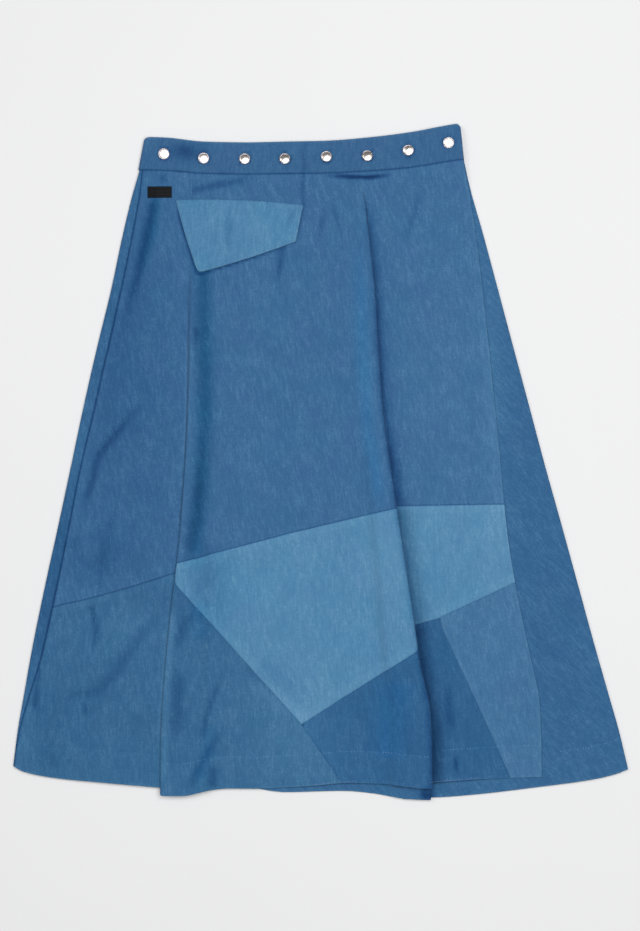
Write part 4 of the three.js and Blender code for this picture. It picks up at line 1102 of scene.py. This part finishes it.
def snapProfile():
    # from the top of the dome out to the rolled rim, then down and under
    s = snapSizes
    domeEdge = s["radius"] - s["rimWidth"] - s["groove"]
    bend = (domeEdge ** 2 + s["dome"] ** 2) / (2 * s["dome"])
    profile = [(r, s["rim"] + math.sqrt(bend ** 2 - r ** 2) - bend + s["dome"])
               for r in np.linspace(0, domeEdge, s["rings"])]
    profile.append((domeEdge + s["groove"] / 2, s["rim"] - 0.12))
    half = s["rimWidth"] / 2
    for angle in np.linspace(math.pi, -math.pi / 2, 11):
        profile.append((s["radius"] - half + half * math.cos(angle), s["rim"] + half * math.sin(angle) * 0.8))
    return profile + [(s["radius"] - half, 0.0), (0.0, 0.0)]


def snapCap(name, place, material):
    s = snapSizes
    x, y = place["across"], place["y"]
    base = float(heightAt(x, y)) + s["seat"]
    points, rings = [], []
    for out, up in snapProfile():
        angles = np.linspace(0, 2 * math.pi, s["sides"], endpoint=False) if out else [0.0]
        rings.append(list(range(len(points), len(points) + len(angles))))
        points += [(x + out * math.cos(a), y + out * math.sin(a), base + up) for a in angles]
    faces = []
    for ring, after in zip(rings, rings[1:]):
        for k in range(s["sides"]):
            at = lambda points, step: points[(k + step) % s["sides"] % len(points)]
            corners = at(ring, 0), at(after, 0), at(after, 1), at(ring, 1)
            faces.append(list(dict.fromkeys(corners)))  # a triangle where a ring is one point
    points = np.array(points)
    out = points[:, :2] - (x, y)
    tip = np.tan(np.radians([place["right"], place["up"]]))
    points[:, 2] += s["radius"] * np.abs(tip).sum() * 0.4 - out @ tip
    rim = (np.hypot(out[:, 0], out[:, 1]) > s["radius"] - s["rimWidth"] - s["groove"] / 2) * 1.0
    return addMesh(name, points, faces, values=dict(rim=rim), material=material)


nickel = snapMaterial()
for number, place in enumerate(snapPlaces, 1):
    addPiece(snapCap("snap_cap_%d" % number, place, nickel), "snap_%d" % number, "snap_metal")
print("snaps made")

# Stitches, laid along paths on the cloth by geometry nodes.
threadLooks = named(table("name colour light",
    ("pale", (84, 128, 166), (112, 152, 184)), ("middle", (66, 110, 150), (88, 131, 168)),
    ("dark", (34, 74, 114), (52, 92, 132)), ("flapThread", (66, 114, 154), (92, 140, 176)),
    ("mauve", (96, 110, 156), (118, 134, 176)),
))


def threadMaterial(name, look):
    n = Nodes(name)
    twist = n.noise(n.stretched(n.add("ShaderNodeTexCoord").outputs["Object"], 0.5, 0.5), detail=1.0)
    colour = n.ramp(twist, linearColour(look["colour"]), linearColour(look["light"]))
    return n.finish(colour, 0.7, (twist, 0.3, 0.1), Sheen_Weight=0.1)


threads = {key: threadMaterial("thread_" + key, look) for key, look in threadLooks.items()}


def stitchTree():
    tree = bpy.data.node_groups.new("stitches along a path", "GeometryNodeTree")
    sizes = ("Pitch", "Stitch length", "Thread width", "Thread height", "Kept share")
    sockets = [("Path", "Geometry"), *((size, "Float") for size in sizes), ("Thread", "Material")]
    for name, kind in sockets:
        tree.interface.new_socket(name, in_out="INPUT", socket_type="NodeSocket" + kind)
    tree.interface.new_socket("Stitches", in_out="OUTPUT", socket_type="NodeSocketGeometry")
    nodes = {name: tree.nodes.new(kind) for name, kind in dict(
        given="NodeGroupInput", out="NodeGroupOutput", resample="GeometryNodeResampleCurve",
        tangent="GeometryNodeInputTangent", align="FunctionNodeAlignRotationToVector",
        bean="GeometryNodeMeshUVSphere", size="ShaderNodeCombineXYZ", vary="FunctionNodeRandomValue",
        kept="FunctionNodeRandomValue", place="GeometryNodeInstanceOnPoints", grow="ShaderNodeVectorMath",
        real="GeometryNodeRealizeInstances", smooth="GeometryNodeSetShadeSmooth",
        paint="GeometryNodeSetMaterial",
    ).items()}
    nodes["resample"].mode, nodes["align"].axis = "LENGTH", "X"
    nodes["kept"].data_type, nodes["grow"].operation = "BOOLEAN", "SCALE"
    # a random node has a socket of the same name for each kind of value, so those are found by identifier
    find = lambda sockets, key: next(s for s in sockets if key in (s.identifier, s.name))
    for name, key, value in (
        ("bean", "Segments", 6), ("bean", "Rings", 4), ("bean", "Radius", 0.5), ("vary", "Min_001", 0.82),
        ("vary", "Max_001", 1.12), ("vary", "Seed", 5), ("kept", "Seed", 8),
    ):
        find(nodes[name].inputs, key).default_value = value
    for start, output, finish, key in (
        ("given", "Path", "resample", "Curve"), ("given", "Pitch", "resample", "Length"),
        ("given", "Stitch length", "size", "X"), ("given", "Thread width", "size", "Y"),
        ("given", "Thread height", "size", "Z"), ("resample", "Curve", "place", "Points"),
        ("given", "Kept share", "kept", "Probability"), ("kept", "Value_003", "place", "Selection"),
        ("bean", "Mesh", "place", "Instance"), ("tangent", "Tangent", "align", "Vector"),
        ("align", "Rotation", "place", "Rotation"), ("size", "Vector", "grow", "Vector"),
        ("vary", "Value_001", "grow", "Scale"), ("grow", "Vector", "place", "Scale"),
        ("place", "Instances", "real", "Geometry"), ("real", "Geometry", "smooth", "Geometry"),
        ("smooth", "Geometry", "paint", "Geometry"), ("given", "Thread", "paint", "Material"),
        ("paint", "Geometry", "out", "Stitches"),
    ):
        tree.links.new(find(nodes[start].outputs, output), find(nodes[finish].inputs, key))
    return tree


stitches = stitchTree()


def sewPaths(name, paths, kind):
    sewing = sewings[kind]
    curve = bpy.data.curves.new(name + "_path", "CURVE")
    curve.dimensions = "3D"
    for path in paths:
        spline = curve.splines.new("POLY")
        spline.points.add(len(path) - 1)
        spline.points.foreach_set("co", np.concatenate([path * mm, np.ones((len(path), 1))], axis=1).ravel())
    holder = addObject(name + "_path", curve)
    modifier = holder.modifiers.new("stitches", "NODES")
    modifier.node_group = stitches
    sizes = {"Thread": threads[sewing["thread"]], "Kept share": sewing["kept"]}
    for label, key in (("Pitch", "pitch"), ("Stitch length", "length"), ("Thread width", "width"),
                       ("Thread height", "height")):
        sizes[label] = sewing[key] * mm
    for item in stitches.interface.items_tree:
        if item.item_type == "SOCKET" and item.in_out == "INPUT" and item.name in sizes:
            modifier[item.identifier] = sizes[item.name]
    seen = holder.evaluated_get(bpy.context.evaluated_depsgraph_get())
    mesh = bpy.data.meshes.new_from_object(seen)
    mesh.name = name
    bpy.data.objects.remove(holder)
    piece = addObject(name, mesh)
    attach(piece, "root")


sewings = named(table("name pitch length width height kept thread",
    ("hem", 3.2, 1.8, 0.7, 0.35, 0.72, "pale"), ("edge", 3.4, 1.5, 0.6, 0.35, 0.5, "pale"),
    ("quiet", 3.2, 1.7, 0.5, 0.3, 0.6, "middle"), ("seam", 2.7, 1.5, 0.55, 0.4, 0.9, "dark"),
    ("faintSeam", 2.7, 1.4, 0.45, 0.3, 0.6, "middle"), ("flap", 2.6, 1.8, 0.45, 0.3, 0.95, "flapThread"),
    ("mauve", 2.6, 2.1, 0.6, 0.4, 0.9, "mauve"),
))


def onCloth(x, y, sink=0.05):
    return joined(x, y, heightAt(x, y) - sink)


def lineOn(pointAt, start, finish, down, lift=0.0, count=120):
    # along the cloth at "down", a share or a seam, moved up from it by "lift"
    cloth = np.linspace(start, finish, count)
    points = pointAt(cloth, down(cloth) if callable(down) else down)
    return onCloth(points[..., 0], points[..., 1] + lift)


hemShare = 1 - hemDepth / clothLength
frontLine = lambda *args: lineOn(frontPoint, *args)
sewPaths("hem_stitches", [frontLine(2.01, 2.99, hemShare), frontLine(4.28, 4.98, hemShare),
                          lineOn(underPoint, 2.66, 2.985, hemShare)], "hem")
sewPaths("side_hem_stitches", [frontLine(0.02, 0.86, hemShare)], "quiet")
sewPaths("hem_edge_stitches", [frontLine(2.62, 2.99, 1.0, 3.0), frontLine(4.3, 4.98, 1.0, 2.6)], "edge")
sewPaths("hem_mauve_thread", [frontLine(2.5, 2.72, 1.0, 1.2), frontLine(4.2, 4.55, 1.0, 1.2)], "mauve")

edgePoints = frontPoint(np.full(240, 5.0), np.linspace(0.01, 0.995, 240))
sewPaths("wrap_edge_stitches", [onCloth(edgePoints[:, 0] - wrapHem["reach"], edgePoints[:, 1])], "quiet")
upperSpans = ((0.03, 0.85), (2.02, 2.98), (4.2, 4.98))
sewPaths("upper_seam_stitches", [frontLine(*span, seamAt["upper"]) for span in upperSpans], "seam")
faintSpans = (("light", 2.1, 2.98), ("light", 4.2, 4.98), ("leftSlant", 2.525, 2.67),
              ("rightSlant", 4.385, 4.775))
sewPaths("patch_seam_stitches", [frontLine(*span, seamAt[line]) for line, *span in faintSpans], "faintSeam")

f = flapSizes
flapEdge = np.array([f["topLeft"], f["lowLeft"], f["lowRight"], f["topRight"]]) + np.array(f["stitchIn"])
steps = np.linspace(0, 1, 90)[:, None]
flapLines = [mix(a, b, steps) for a, b in zip(flapEdge, flapEdge[1:])]
sewPaths("flap_stitches", [onCloth(line[:, 0], line[:, 1]) for line in flapLines], "flap")
print("stitches made")

# The floor, the light and the camera.
stageSizes = dict(floor=3.2, cameraHeight=3.0, viewHeight=1.052, centreY=-0.0040)


def addFloor():
    n = Nodes("pale_floor")
    where = n.add("ShaderNodeTexCoord").outputs["Object"]
    tone = n.blend((n.noise(where, 3.0, 3.0), 0.7), (n.noise(where, 900.0), 0.3))
    colour = n.ramp(tone, (0.79, 0.79, 0.795, 1), (0.82, 0.82, 0.825, 1))
    half = stageSizes["floor"] / 2 / mm
    points = np.array([(-half, -half, -0.2), (half, -half, -0.2), (half, half, -0.2), (-half, half, -0.2)])
    material = n.finish(colour, 0.9, Specular_IOR_Level=0.1)
    addMesh("floor", points, [(0, 1, 2, 3)], material=material)


def areaLight(name, place, size, watts, colour):
    data = bpy.data.lights.new(name, "AREA")
    data.shape, data.size, data.energy, data.color = "DISK", size, watts, colour
    addObject(name, data, place).rotation_euler = (-Vector(place)).to_track_quat("-Z", "Y").to_euler()


def studio():
    areaLight("window_light", (-6.0, 2.6, 6.5), 4.5, 190, (1.0, 0.995, 0.985))
    areaLight("top_light", (0.5, 0.3, 3.3), 3.2, 109, (1.0, 1.0, 1.0))
    world = bpy.data.worlds.new("studio")
    world.use_nodes = True
    background = world.node_tree.nodes["Background"].inputs
    background["Color"].default_value, background["Strength"].default_value = (0.97, 0.985, 1.0, 1), 0.15
    bpy.context.scene.world = world
    bpy.context.scene.view_settings.view_transform = "Standard"


def addCamera():
    s = stageSizes
    data = bpy.data.cameras.new("camera")
    data.sensor_fit, data.sensor_height = "VERTICAL", 36.0
    data.lens = data.sensor_height * s["cameraHeight"] / s["viewHeight"]
    bpy.context.scene.camera = addObject("camera", data, (0.0, s["centreY"], s["cameraHeight"]))


addFloor()
studio()
addCamera()
print("stage made")
